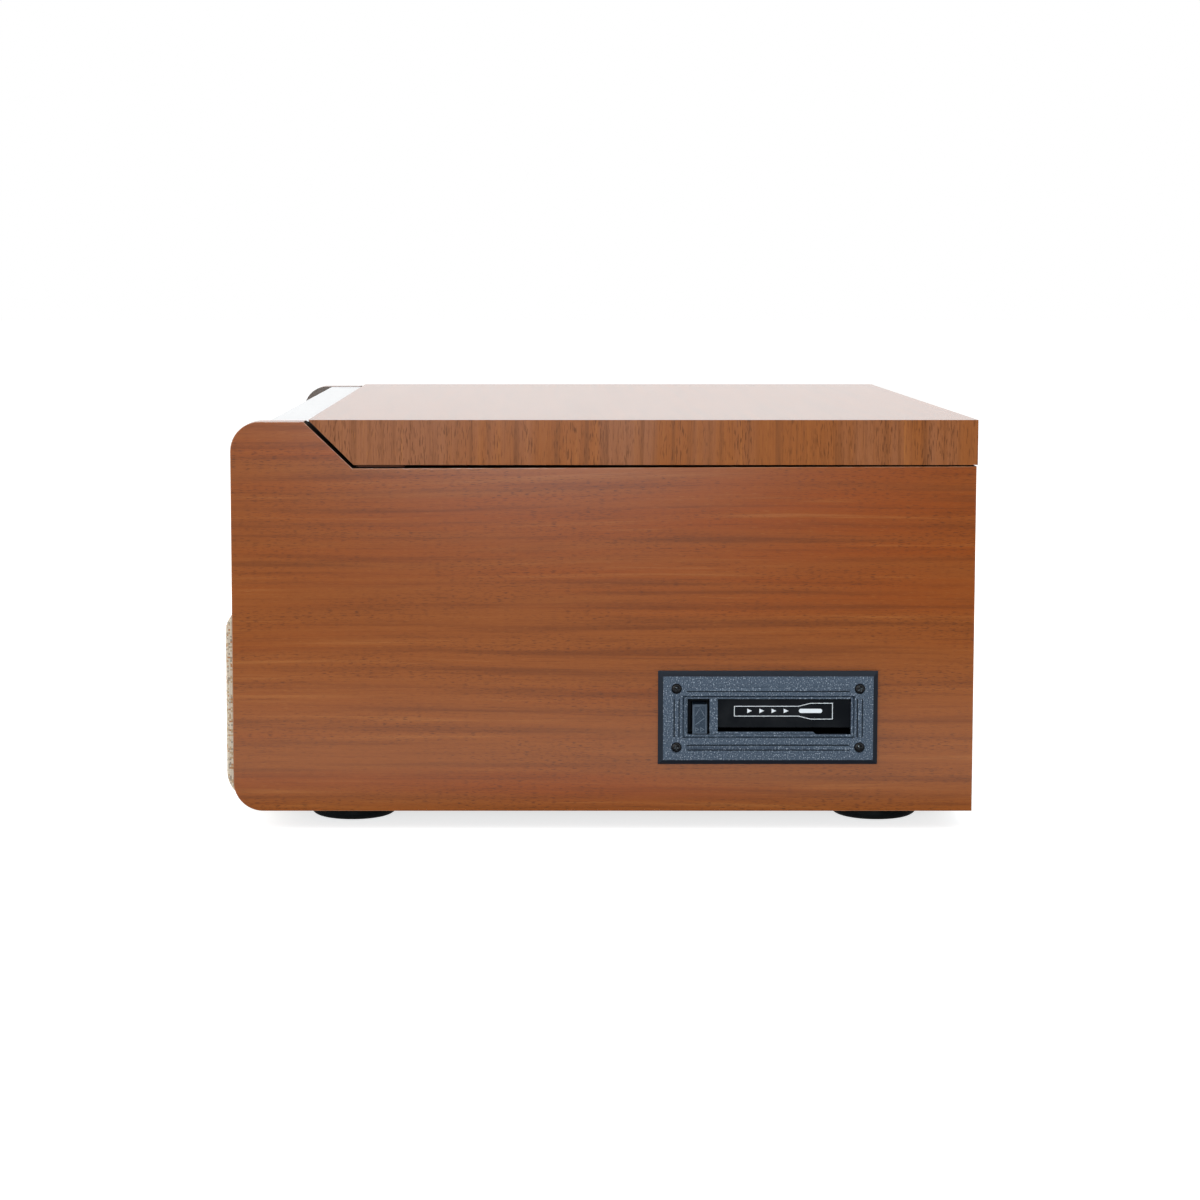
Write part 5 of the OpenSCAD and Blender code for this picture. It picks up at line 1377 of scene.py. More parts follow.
@dataclass
class SpeakerFront:
    """The cloth-covered grille and the speakers behind it."""

    top_r: float = 12.0
    low_r: float = 14.0
    thickness: float = 0.8
    end_r: float = 1.4
    wrap: float = 5.0
    steps: int = 14

    def build(self) -> list[Piece]:
        """All pieces of the speaker front."""
        return [self.cloth(), dress("grille_frame", FRAME_BLACK), dress("speaker_baffle", DARK_BOARD),
                dress("speaker_baskets", BASKET_STEEL), dress("speaker_cones", PAPER)]

    def cloth(self) -> Piece:
        """Cloth stretched over the grille's front, top and bottom and round its ends."""
        low, high = span("grille_cloth")
        back = high.y
        section = [*arc((low.y + self.low_r, low.z + self.low_r), (self.low_r,) * 2, 270, 180, self.steps),
                   *arc((low.y + self.top_r, high.z - self.top_r), (self.top_r,) * 2, 180, 90, self.steps),
                   (back, high.z)]
        shape = Shape.plate(section, high.x - low.x)
        shape.moved(shift(low.x, 0, 0) @ ON_SIDE)
        mesh = shape.mesh
        rear = [f for f in mesh.faces if f.normal.y > 0.9]
        bmesh.ops.delete(mesh, geom=rear, context="FACES")
        shape.soften(self.end_r, 4, 40.0)
        self.lay_cloth(shape, section, high.x)
        bmesh.ops.solidify(mesh, geom=mesh.faces[:], thickness=self.thickness)
        piece = shape.finish("tweed_cover", CLOTH, "cabinet", "grille_fabric", ["grille_cloth"], smooth=60.0)
        along = sum((Vector(b) - Vector(a)).length for a, b in zip(section, section[1:]))
        return piece

    def lay_cloth(self, shape: Shape, section: Sequence[Flat], end: float) -> None:
        """Gives each point its place on the flat cloth.

        Args:
            shape: The cloth's surface.
            section: Its cross-section in y and z.
            end: Half of its width.
        """
        runs = [0.0]
        for a, b in zip(section, section[1:]):
            runs.append(runs[-1] + (Vector(b) - Vector(a)).length)

        def along(y: float, z: float) -> float:
            """How far the nearest point of the section is along it."""
            best, found = 1e9, 0.0
            for (a, b), run in zip(zip(section, section[1:]), runs):
                step = Vector(b) - Vector(a)
                if step.length < 1e-6:
                    continue
                share = min(1.0, max(0.0, (Vector((y, z)) - Vector(a)).dot(step) / step.length_squared))
                miss = (Vector((y, z)) - Vector(a) - share * step).length
                if miss < best:
                    best, found = miss, run + share * step.length
            return found

        layer = shape.mesh.loops.layers.uv.new("cloth")
        shape.mesh.normal_update()
        for face in shape.mesh.faces:
            flat_end = abs(face.normal.x) > 0.9
            for loop in face.loops:
                x, y, z = loop.vert.co
                place = (math.copysign(end + y + self.wrap, x), z) if flat_end else (x, along(y, z))
                loop[layer].uv = (place[0] * MM, place[1] * MM)


@dataclass
class FrontPanel:
    """The white fascia with its knobs, buttons and sockets."""

    fold: float = 17.4
    edge: float = 0.5
    end_x: float = 208.0
    knob_x: float = 158.0
    knob_s: float = 60.0
    knob_r: float = 23.0
    knob_h: float = 13.0
    flutes: int = 40
    stem_r: float = 3.0
    stem_l: float = 13.5
    button_xs: tuple[float, ...] = (-114.0, -92.0, 92.0, 114.0)
    button_s: float = 18.0
    button_r: float = 5.5
    button_h: float = 2.4
    button_tail: float = 6.5
    mark: float = 0.12

    @property
    def slope(self) -> float:
        """How far the face leans back, as an angle."""
        low, high = span("front_fascia")
        return math.atan2(self.fold - low.y, high.z - low.z)

    def on_face(self, x: float, s: float) -> Matrix:
        """The frame on the face at x sideways and s up it: z points out of the face."""
        low = span("front_fascia")[0]
        return shift(x, low.y, low.z) @ Matrix.Rotation(math.pi / 2 - self.slope, 4, "X") @ shift(0, s, 0)

    def build(self) -> list[Piece]:
        """All pieces of the front panel."""
        fascia = Shape.copy_of("front_fascia").soften(self.edge, 3, longer=12)
        # Painted shade: the ends beyond the panels and the slope that faces back take the dark colour.
        fascia.mark("inside", lambda f: abs(f.normal.x) > 0.9 and abs(f.calc_center_median().x) > self.end_x
                    or f.normal.y > 0.5)
        pieces = [fascia.finish("fascia_shell", FASCIA_WHITE, "cabinet", "fascia_plastic", ["front_fascia"]),
                  dress("front_sockets", STEEL), dress("control_board", GREEN_BOARD)]
        for node, x in (("volume_knob", -self.knob_x), ("tuning_knob", self.knob_x)):
            pieces += self.knob(node, self.on_face(x, self.knob_s))
        for node, x in zip(("previous_button", "play_button", "stop_button", "next_button"), self.button_xs):
            pieces += self.button(node, self.on_face(x, self.button_s))
        return pieces

    def gilt(self, name: str, matrix: Matrix) -> Turned:
        """Gilt metal turned about the z axis of a frame on the face."""
        return replace(GILT, name=name, centre=tuple(matrix.translation), turn=tuple(matrix.to_euler()))

    def knob(self, node: str, matrix: Matrix) -> list[Piece]:
        """A knob with a skirt, a fluted grip and a dished top, and its white line.

        Args:
            node: The knob's CAD node, which has its body's name too.
            matrix: The frame on the face at its axis.

        Returns:
            The knob and its line.
        """
        r, h = self.knob_r, self.knob_h
        skirt = Shape.turned([(0, 0.4), (r - 0.4, 0.4), (r, 0.8), (r, 2.0), (r - 0.4, 2.4), (r - 1.6, 2.7),
                              (0, 2.7)], 96)
        grip = Shape.fluted((r - 1.7, r - 2.9), (2.6, h - 0.9), self.flutes, 0.7)
        grip.soften(0.25, 2, 50.0)
        cap = Shape.turned([(0, h - 1.0), (r - 3.8, h - 1.0), (r - 3.6, h - 0.4), (r - 4.0, h - 0.05),
                            (r - 4.8, h), (r - 6.0, h - 0.35), (r * 0.4, h - 0.5), (0, h - 0.52)], 96)
        stem = [(0, -self.stem_l), (self.stem_r, -self.stem_l), (self.stem_r, 0.6), (0, 0.6)]
        line = Shape.plate(rounded((-0.7, 8.5), (0.7, r - 5.2), 0.6, 4), 0.3).moved(shift(0, 0, h - 0.48))
        knob = skirt.join(grip, cap, Shape.turned(stem, 32)).moved(matrix)
        return [knob.finish(node + "_turned", self.gilt(node, matrix), node, "control_metal", [node]),
                line.moved(matrix).finish(node + "_line", WHITE_INK, node, "scale_print")]

    def button(self, node: str, matrix: Matrix) -> list[Piece]:
        """A dished push button and the mark on it.

        Args:
            node: The button's CAD node, which has its body's name too.
            matrix: The frame on the face at its axis.

        Returns:
            The button and its mark.
        """
        r, h = self.button_r, self.button_h
        profile = [(0, h - 0.3), (r * 0.6, h - 0.26), (r - 0.9, h), (r - 0.35, h - 0.1), (r, h - 0.6),
                   (r, -3.3), (r + 1.7, -3.3), (r + 1.7, -4.8), (r, -4.8), (r, -self.button_tail),
                   (0, -self.button_tail)]
        button = Shape.turned(profile, 64).moved(matrix)
        mark = Shape().join(*self.symbol(node)).moved(matrix @ shift(0, 0, h - 0.3))
        return [button.finish(node + "_cap", self.gilt(node, matrix), node, "control_metal", [node]),
                mark.finish(node + "_mark", BROWN_INK, node, "scale_print")]

    def symbol(self, node: str) -> list[Shape]:
        """The plain sign for what a button does."""
        def arrow(x: float, way: int) -> Shape:
            """A triangle that points to one side."""
            points = [(x - way * 0.9, -1.2), (x + way * 0.9, 0.0), (x - way * 0.9, 1.2)]
            return Shape.plate(points if way > 0 else points[::-1], self.mark)

        def stroke(x: float) -> Shape:
            """An upright bar."""
            return Shape.bar((x, -1.2), (x, 1.2), 0.5, self.mark)

        signs = {
            "previous_button": [stroke(-2.0), arrow(-0.7, -1), arrow(1.1, -1)],
            "play_button": [arrow(-0.9, 1), stroke(0.9), stroke(1.9)],
            "stop_button": [Shape.plate(rounded((-1.3, -1.3), (1.3, 1.3), 0.15, 2), self.mark)],
            "next_button": [arrow(-1.1, 1), arrow(0.7, 1), stroke(2.0)],
        }
        return signs[node]


@dataclass
class Dial:
    """The slide-rule dial behind its clear window."""

    panel: FrontPanel
    centre_s: float = 60.0
    depth: float = -5.0
    reach: float = 85.0
    overrun: float = 3.0
    ink: float = 0.1
    line_s: float = 4.0
    line_w: float = 0.35
    tick_s: float = 8.5
    tick_w: float = 0.5
    minor_s: float = 6.3
    minor_w: float = 0.3
    number_s: float = 12.5
    number_h: float = 5.0
    unit_x: float = 12.0
    unit_s: float = 6.0
    unit_h: float = 3.8
    upper: tuple[int, ...] = (88, 92, 96, 100, 104, 108)
    lower: tuple[int, ...] = (53, 60, 70, 90, 120, 160)

    def build(self) -> list[Piece]:
        """All pieces of the dial."""
        glass = Shape.copy_of("dial_glass").soften(0.25)
        return [dress("dial_scale", DIAL_CREAM), dress("dial_pointer", RED_PLASTIC), self.marks(),
                glass.finish("dial_window", DIAL_CLEAR, "cabinet", "dial_clear", ["dial_glass"])]

    def marks(self) -> Piece:
        """Two printed scales with numbers, a line each and ticks."""
        whole = Shape()
        for row, numbers in ((1, self.upper), (-1, self.lower)):
            start, end = math.log(numbers[0]), math.log(numbers[-1])
            places = [self.reach * (2 * (math.log(n) - start) / (end - start) - 1) for n in numbers]
            line, far = row * self.line_s, self.reach + self.overrun
            whole.join(Shape.bar((-far, line), (far, line), self.line_w, self.ink))
            for x, number in zip(places, numbers):
                digits = Shape.letters(str(number), self.number_h, self.ink)
                whole.join(digits.moved(shift(x, row * self.number_s, 0)),
                           Shape.bar((x, line), (x, row * self.tick_s), self.tick_w, self.ink))
            for a, b in zip(places, places[1:]):
                for x in (a + (b - a) * i / 4 for i in range(1, 4)):
                    whole.join(Shape.bar((x, line), (x, row * self.minor_s), self.minor_w, self.ink))
            for side, words in ((-1, "FM" if row > 0 else "AM"), (1, "MHz" if row > 0 else "kHz")):
                unit = Shape.letters(words, self.unit_h, self.ink)
                whole.join(unit.moved(shift(side * (self.reach + self.unit_x), row * self.unit_s, 0)))
        whole.moved(self.panel.on_face(0, self.centre_s) @ shift(0, 0, self.depth))
        return whole.finish("dial_marks", BROWN_INK, "cabinet", "scale_print")


@dataclass
class DiscDrawer:
    """The drawer for discs and the chassis that it runs in."""

    front_back: float = 12.4

    def build(self) -> list[Piece]:
        """All pieces of the drawer."""
        shape = Shape.copy_of("disc_drawer").soften(
            0.5, 3, longer=4, where=lambda e: all(v.co.y < self.front_back for v in e.verts))
        return [shape.finish("drawer_tray", DRAWER_WHITE, "disc_drawer", "drawer_plastic", ["disc_drawer"]),
                dress("disc_chassis", CHASSIS_GREY)]


@dataclass
class Turntable:
    """The deck with its platter, mat, spindle, drive and sliding switches."""

    centre: Flat = (-48.0, 199.0)
    platter_r: float = 110.0
    hub_r: float = 12.0
    belt_ring_r: float = 75.0
    label_r: float = 52.0
    shaft_r: float = 5.0
    spindle_r: float = 3.6
    rib_pitch: float = 2.2
    rib_h: float = 0.5
    ridge_pitch: float = 1.4
    ridge: tuple[float, ...] = (3.4, 0.3, 0.35)
    ink: float = 0.08
    word_h: float = 4.2
    word_dx: float = 9.5
    tick_dx: Flat = (4.0, 1.5)
    tick_w: float = 0.4

    def build(self) -> list[Piece]:
        """All pieces of the turntable."""
        return [dress("deck_plate", DECK_BLACK), self.platter(), self.mat(), self.spindle(), self.marks(),
                dress("platter_bearing", BRASS), dress("drive_belt", RUBBER), dress("drive_motor", STEEL),
                dress("motor_pulley", BRASS), self.switch("speed_switch"), self.switch("autostop_switch")]

    def metal(self, name: str, colour: Colour, dark: Colour, shine: float) -> Turned:
        """Metal turned about the spindle."""
        return Turned(name, colour, dark, shine=shine, relief=0.02, bump=0.12, centre=(*self.centre, 0.0))

    def platter(self) -> Piece:
        """The turned platter with two grooves round its rim."""
        low, high = span("platter")
        r, top = self.platter_r, high.z
        under, rim_low, ring = top - 4.5, top - 10.0, self.belt_ring_r
        profile = [(self.shaft_r, low.z), (self.hub_r, low.z), (self.hub_r, under), (ring - 5, under),
                   (ring - 5, rim_low), (ring, rim_low), (ring, under), (r - 4, under), (r - 4, rim_low),
                   (r - 0.5, rim_low), (r, rim_low + 0.5)]
        for z in (top - 7.0, top - 4.0):
            profile += [(r, z - 0.5), (r - 0.5, z - 0.3), (r - 0.5, z + 0.3), (r, z + 0.5)]
        profile += [(r, top - 1.0), (r - 0.3, top - 0.3), (r - 1.0, top), (self.shaft_r, top),
                    (self.shaft_r, low.z)]
        finish = self.metal("platter_alloy", (0.66, 0.66, 0.65), (0.44, 0.44, 0.44), 0.26)
        return Shape.turned(profile, 160).moved(shift(*self.centre, 0)).finish(
            "turned_platter", finish, "platter", "platter_metal", ["platter"])

    def mat(self) -> Piece:
        """The rubber mat with ribs all round and a sunk middle for the label."""
        low, high = span("platter_mat")
        outer, hole, top = self.platter_r - 2.0, self.shaft_r + 0.3, high.z
        profile = [(hole, low.z), (outer, low.z), (outer, top - 0.6), (outer - 0.3, top - 0.15),
                   (outer - 1, top)]
        ribs = int((outer - 4 - self.label_r - 4) / self.rib_pitch)
        for i in range(ribs):
            r = outer - 4 - i * self.rib_pitch
            profile += [(r, top), (r - 0.35, top - self.rib_h), (r - 0.9, top - self.rib_h), (r - 1.25, top)]
        profile += [(self.label_r, top), (self.label_r - 1, top - 0.6), (hole, top - 0.6), (hole, low.z)]
        return Shape.turned(profile, 160).moved(shift(*self.centre, 0)).finish(
            "ribbed_mat", RUBBER, "platter", "mat_rubber", ["platter_mat"], smooth=25.0)

    def spindle(self) -> Piece:
        """The polished spindle with a rounded tip on its thicker shaft."""
        low, high = span("platter_spindle")
        r, shaft, collar = self.spindle_r, self.shaft_r, span("platter_mat")[1].z - 0.4
        tip = arc((0.6, high.z - 3.0), (r - 0.6, 3.0), 0, 90, 8)
        profile = [(0, low.z), (shaft, low.z), (shaft, collar - 0.3), (shaft - 0.3, collar), (r, collar),
                   *tip, (0, high.z)]
        finish = self.metal("spindle_steel", (0.78, 0.78, 0.77), (0.6, 0.6, 0.6), 0.12)
        return Shape.turned(profile, 48).moved(shift(*self.centre, 0)).finish(
            "turned_spindle", finish, "platter", "bright_metal", ["platter_spindle"])

    def switch(self, node: str) -> Piece:
        """A sliding switch with softened edges and ridges for the finger."""
        low, high = span(node)
        shape = Shape.copy_of(node).soften(0.4, longer=2.5)
        middle = (low + high) / 2
        dx, dy, rise = self.ridge
        for i in (-1, 0, 1):
            x, y = middle.x, middle.y + i * self.ridge_pitch
            ridge = Shape.block((x - dx, y - dy, high.z - 0.1), (x + dx, y + dy, high.z + rise))
            shape.join(ridge.soften(0.15))
        return shape.finish(node + "_cap", SWITCH_SILVER, node, "switch_plastic", [node])

    def marks(self) -> Piece:
        """Speeds beside the first switch, on and off beside the second, and the detents' ticks."""
        deck = span("deck_plate")[1].z
        rows = []
        for node, words, pitch in (("speed_switch", ("33", "45", "78"), 6.0),
                                   ("autostop_switch", ("OFF", "ON"), 5.0)):
            low, high = span(node)
            y, edge = (low.y + high.y) / 2, low.x
            rows += [(word, edge, y + i * pitch) for i, word in enumerate(words)]
        whole = Shape()
        start, end = self.tick_dx
        for word, edge, y in rows:
            tick = Shape.bar((edge - start, y), (edge - end, y), self.tick_w, self.ink)
            whole.join(Shape.letters(word, self.word_h, self.ink).moved(shift(edge - self.word_dx, y, deck)),
                       tick.moved(shift(0, 0, deck)))
        return whole.finish("deck_marks", WHITE_INK, "cabinet", "scale_print")


@dataclass
class Tonearm:
    """The tonearm on its base, with its rest, clip and cueing lever."""

    soft: dict[str, tuple[str, str, float]] = field(default_factory=lambda: {
        "tonearm_base": ("cabinet", "head_plastic", 0.6),
        "arm_rest": ("cabinet", "head_plastic", 0.4),
        "tonearm_yoke": ("arm_swivel", "yoke_metal", 0.4),
        "headshell": ("arm", "head_plastic", 0.4),
        "cartridge": ("arm", "cartridge_plastic", 0.3),
        "arm_clip": ("arm_clip", "head_plastic", 0.3),
        "cue_lever": ("cue_lever", "yoke_metal", 0.4),
        "cue_lift_bar": ("cue_lift", "yoke_metal", 0.3),
    })
    knurls: int = 56

    def build(self) -> list[Piece]:
        """All pieces of the tonearm."""
        finishes = {"head_plastic": FRAME_BLACK, "yoke_metal": BRIGHT_STEEL, "cartridge_plastic": RED_PLASTIC}
        pieces = [dress("tonearm_tube", ARM_ALLOY), self.weight()]
        for node, (body, slot, width) in self.soft.items():
            shape = Shape.copy_of(node).soften(width, longer=2.2)
            pieces.append(shape.finish(node + "_soft", finishes[slot], body, slot, [node]))
        return pieces

    def weight(self) -> Piece:
        """The counterweight: a plain drum with grooves and a knurled ring in front."""
        low, high = span("counterweight")
        r, length = (high.x - low.x) / 2, high.y - low.y
        bore = 3.5
        drum = [(bore, 7.2), (r - 0.6, 7.2), (r, 7.8), (r, length * 0.6 - 0.6), (r - 0.6, length * 0.6),
                (r, length * 0.6 + 0.6), (r, length - 1.2), (r - 1.2, length), (bore, length), (bore, 7.2)]
        ring = Shape.fluted((r - 0.2, r - 0.2), (0.8, 6.4), self.knurls, 0.45).soften(0.2, 2, 60.0)
        collar = Shape.turned([(bore, 0.0), (r - 2.5, 0.0), (r - 1.5, 0.9), (r - 1.5, 7.3), (bore, 7.3),
                               (bore, 0.0)], 64)
        place = shift((low.x + high.x) / 2, low.y, (low.z + high.z) / 2) @ ALONG_Y
        finish = Turned("weight_alloy", (0.30, 0.30, 0.31), (0.16, 0.16, 0.165), shine=0.28, relief=0.02,
                        bump=0.12, centre=tuple(place.translation), turn=tuple(place.to_euler()))
        shape = Shape.turned(drum, 64).join(ring, collar).moved(place)
        return shape.finish("turned_weight", finish, "arm", "weight_metal", ["counterweight"])


@dataclass
class TapeDeck:
    """The tape slot in the right side, with its bezel, flap, key and screws."""

    edge: float = 0.3
    line: float = 0.62
    stroke: float = 0.3
    ink: float = 0.05
    sign: float = 0.25
    bead_h: float = 0.5
    bead_half: float = 0.9
    bead_end: float = 5.0
    well: tuple[float, ...] = (221.5, 37.1, 306.1, 58.1)
    well_deep: float = 2.8
    gap: float = 0.8
    rim: float = 0.8
    rim_h: float = 2.0
    narrow: tuple[float, float] = (47.1, 52.3)
    wide: tuple[float, float] = (45.6, 53.8)
    sign_ys: tuple[float, ...] = (247.2, 279.0, 285.0, 295.9)
    bar_low: Flat = (279.2, 48.8)
    bar_high: Flat = (290.7, 50.9)
    arrows: int = 4
    arrow_from: float = 6.5
    arrow_pitch: float = 6.0
    arrow: Flat = (2.4, 1.1)
    key_margin: float = 1.2
    key_line: float = 0.35
    caret: Flat = (2.2, 4.2)
    caret_tip: Flat = (0.1, 0.23)
    slant_low: Flat = (2.2, 3.5)
    slant_high: Flat = (2.3, 5.4)
    small_arrow_ys: Flat = (-2.3, 0.3)
    small_arrow: Flat = (2.0, 1.2)
    small_arrow_line: float = 0.32
    screw_ys: Flat = (218.6, 308.7)
    screw_zs: Flat = (32.4, 61.5)
    screw_seat: float = 227.8

    def build(self) -> list[Piece]:
        """All pieces of the tape deck."""
        return [self.bezel(), self.flap(), self.flap_sign(), self.key(), self.screws(),
                dress("tape_chassis", WELL_BLACK_AND_SHADE)]

    def bezel(self) -> Piece:
        """The grained bezel with smooth slopes, lines beside its beads and a rim in its well, with painted
        shade on the slopes, the lines and the walls under the well.
        """
        bead = span("tape_bezel")[1].x
        face = bead - self.bead_h
        y0, y1 = self.screw_ys
        z0, z1 = self.screw_zs
        reach, half, deep = self.bead_end, self.bead_half, face - 0.7
        shape = Shape.copy_of("tape_bezel")
        lines = [((y0 + reach, z1 - half - self.line), (y1 - reach, z1 - half)),
                 ((y0 + reach, z0 + half), (y1 - reach, z0 + half + self.line)),
                 ((y0 + reach, z0 - half - self.line), (y1 - reach, z0 - half))]
        for y in self.screw_ys:
            lines += [((y + half, z0 + reach), (y + half + self.line, z1 - reach)),
                      ((y - half - self.line, z0 + reach), (y - half, z1 - reach))]
        cutter = Shape()
        for (a, b), (c, d) in lines:
            cutter.join(Shape.block((deep, a, b), (bead + 5, c, d)))
        shape.carve(cutter)
        # The softened edges of the face take the lighter edge colour: a painted highlight.
        shape.soften(self.edge, 2, longer=1.6, where=lambda e: all(v.co.x > face - 0.05 for v in e.verts))

        def dark(part: Face) -> bool:
            """True for the faces that take painted shade: the border's slopes, the lines beside the beads and
            the walls under the well.
            """
            x, y, z = part.calc_center_median()
            line = any(a - 0.1 < y < c + 0.1 and b - 0.1 < z < d + 0.1 for (a, b), (c, d) in lines)
            slope = 0.2 < part.normal.x < 0.95 and part.calc_area() > 60
            return slope or line and x < face - 0.05 or x < face - self.well_deep - 0.1

        # Painted shade: these faces take the finish's dark colour.
        shape.mark("inside", dark)
        a, b, c, d = self.well
        outline = rounded((a + self.gap, b + self.gap), (c - self.gap, d - self.gap), 0.6, 3)
        rim = Shape.ring(outline, self.rim, self.rim_h)
        shape.join(rim.moved(shift(face - self.well_deep - 0.1, 0, 0) @ ON_SIDE).soften(0.2, 2, 50.0))
        return shape.finish("bezel_shell", BEZEL_GREY, "cabinet", "bezel_plastic", ["tape_bezel"])

    def flap(self) -> Piece:
        """The glossy flap."""
        shape = Shape.copy_of("tape_flap").soften(0.3, longer=20)
        return shape.finish("flap_door", GLOSS_BLACK, "tape_flap", "flap_plastic", ["tape_flap"])

    def flap_sign(self) -> Piece:
        """A printed outline like a tape's shell, with a bar and plain arrows towards it."""
        face = span("tape_flap")[1].x - 0.45
        y0, y1, y2, y3 = self.sign_ys
        outline = [(y0, self.narrow[0]), (y1, self.narrow[0]), (y2, self.wide[0]), (y3, self.wide[0]),
                   (y3, self.wide[1]), (y2, self.wide[1]), (y1, self.narrow[1]), (y0, self.narrow[1])]
        middle = (self.bar_low[1] + self.bar_high[1]) / 2
        radius = (self.bar_high[1] - self.bar_low[1]) / 2
        whole = Shape.ring(outline, self.stroke, self.ink)
        whole.join(Shape.plate(rounded(self.bar_low, self.bar_high, radius - 0.01), self.ink))
        length, half = self.arrow
        for i in range(self.arrows):
            y = y0 + self.arrow_from + i * self.arrow_pitch
            whole.join(Shape.plate([(y, middle - half), (y + length, middle), (y, middle + half)], self.ink))
        whole.moved(shift(face, 0, 0) @ ON_SIDE)
        return whole.finish("flap_sign", WHITE_INK, "tape_flap", "scale_print")

    def key(self) -> Piece:
        """The key with its raised signs: a caret, a slanting line and two small arrows."""
        low, high = span("tape_key")
        y = (low.y + high.y) / 2
        top, bottom = high.z - self.key_margin, low.z + self.key_margin
        (half, drop), (over, sink) = self.caret, self.caret_tip
        strokes = [((y - half, top - drop), (y + over, top - sink)),
                   ((y - over, top - sink), (y + half, top - drop)),
                   ((y - self.slant_low[0], bottom + self.slant_low[1]),
                    (y + self.slant_high[0], top - self.slant_high[1]))]
        shape = Shape.copy_of("tape_key").soften(0.25, longer=4)
        signs = Shape()
        for start, end in strokes:
            signs.join(Shape.bar(start, end, self.key_line, self.sign))
        length, rise = self.small_arrow
        for x in (y + dy for dy in self.small_arrow_ys):
            arrow = [(x, bottom), (x + length, bottom + rise), (x, bottom + 2 * rise)]
            signs.join(Shape.ring(arrow, self.small_arrow_line, self.sign))
        # Every face of the signs is marked as an edge, so the lighter edge colour paints a highlight on them.
        signs.moved(shift(high.x - 0.1, 0, 0) @ ON_SIDE).mark("edge", lambda f: True)
        return shape.join(signs).finish("key_cap", KEY_GREY, "tape_key", "bezel_plastic", ["tape_key"])

    def screws(self) -> Piece:
        """Four glossy black screws."""
        places = [shift(self.screw_seat, y, z) @ ON_SIDE for y in self.screw_ys for z in self.screw_zs]
        screw = Screw(2.5, 1.7, 1.25, shank=13.0, shank_r=1.3)
        return screw.at(places).finish("bezel_screws", SCREW_BLACK, "cabinet", "screw_black", ["tape_screws"])


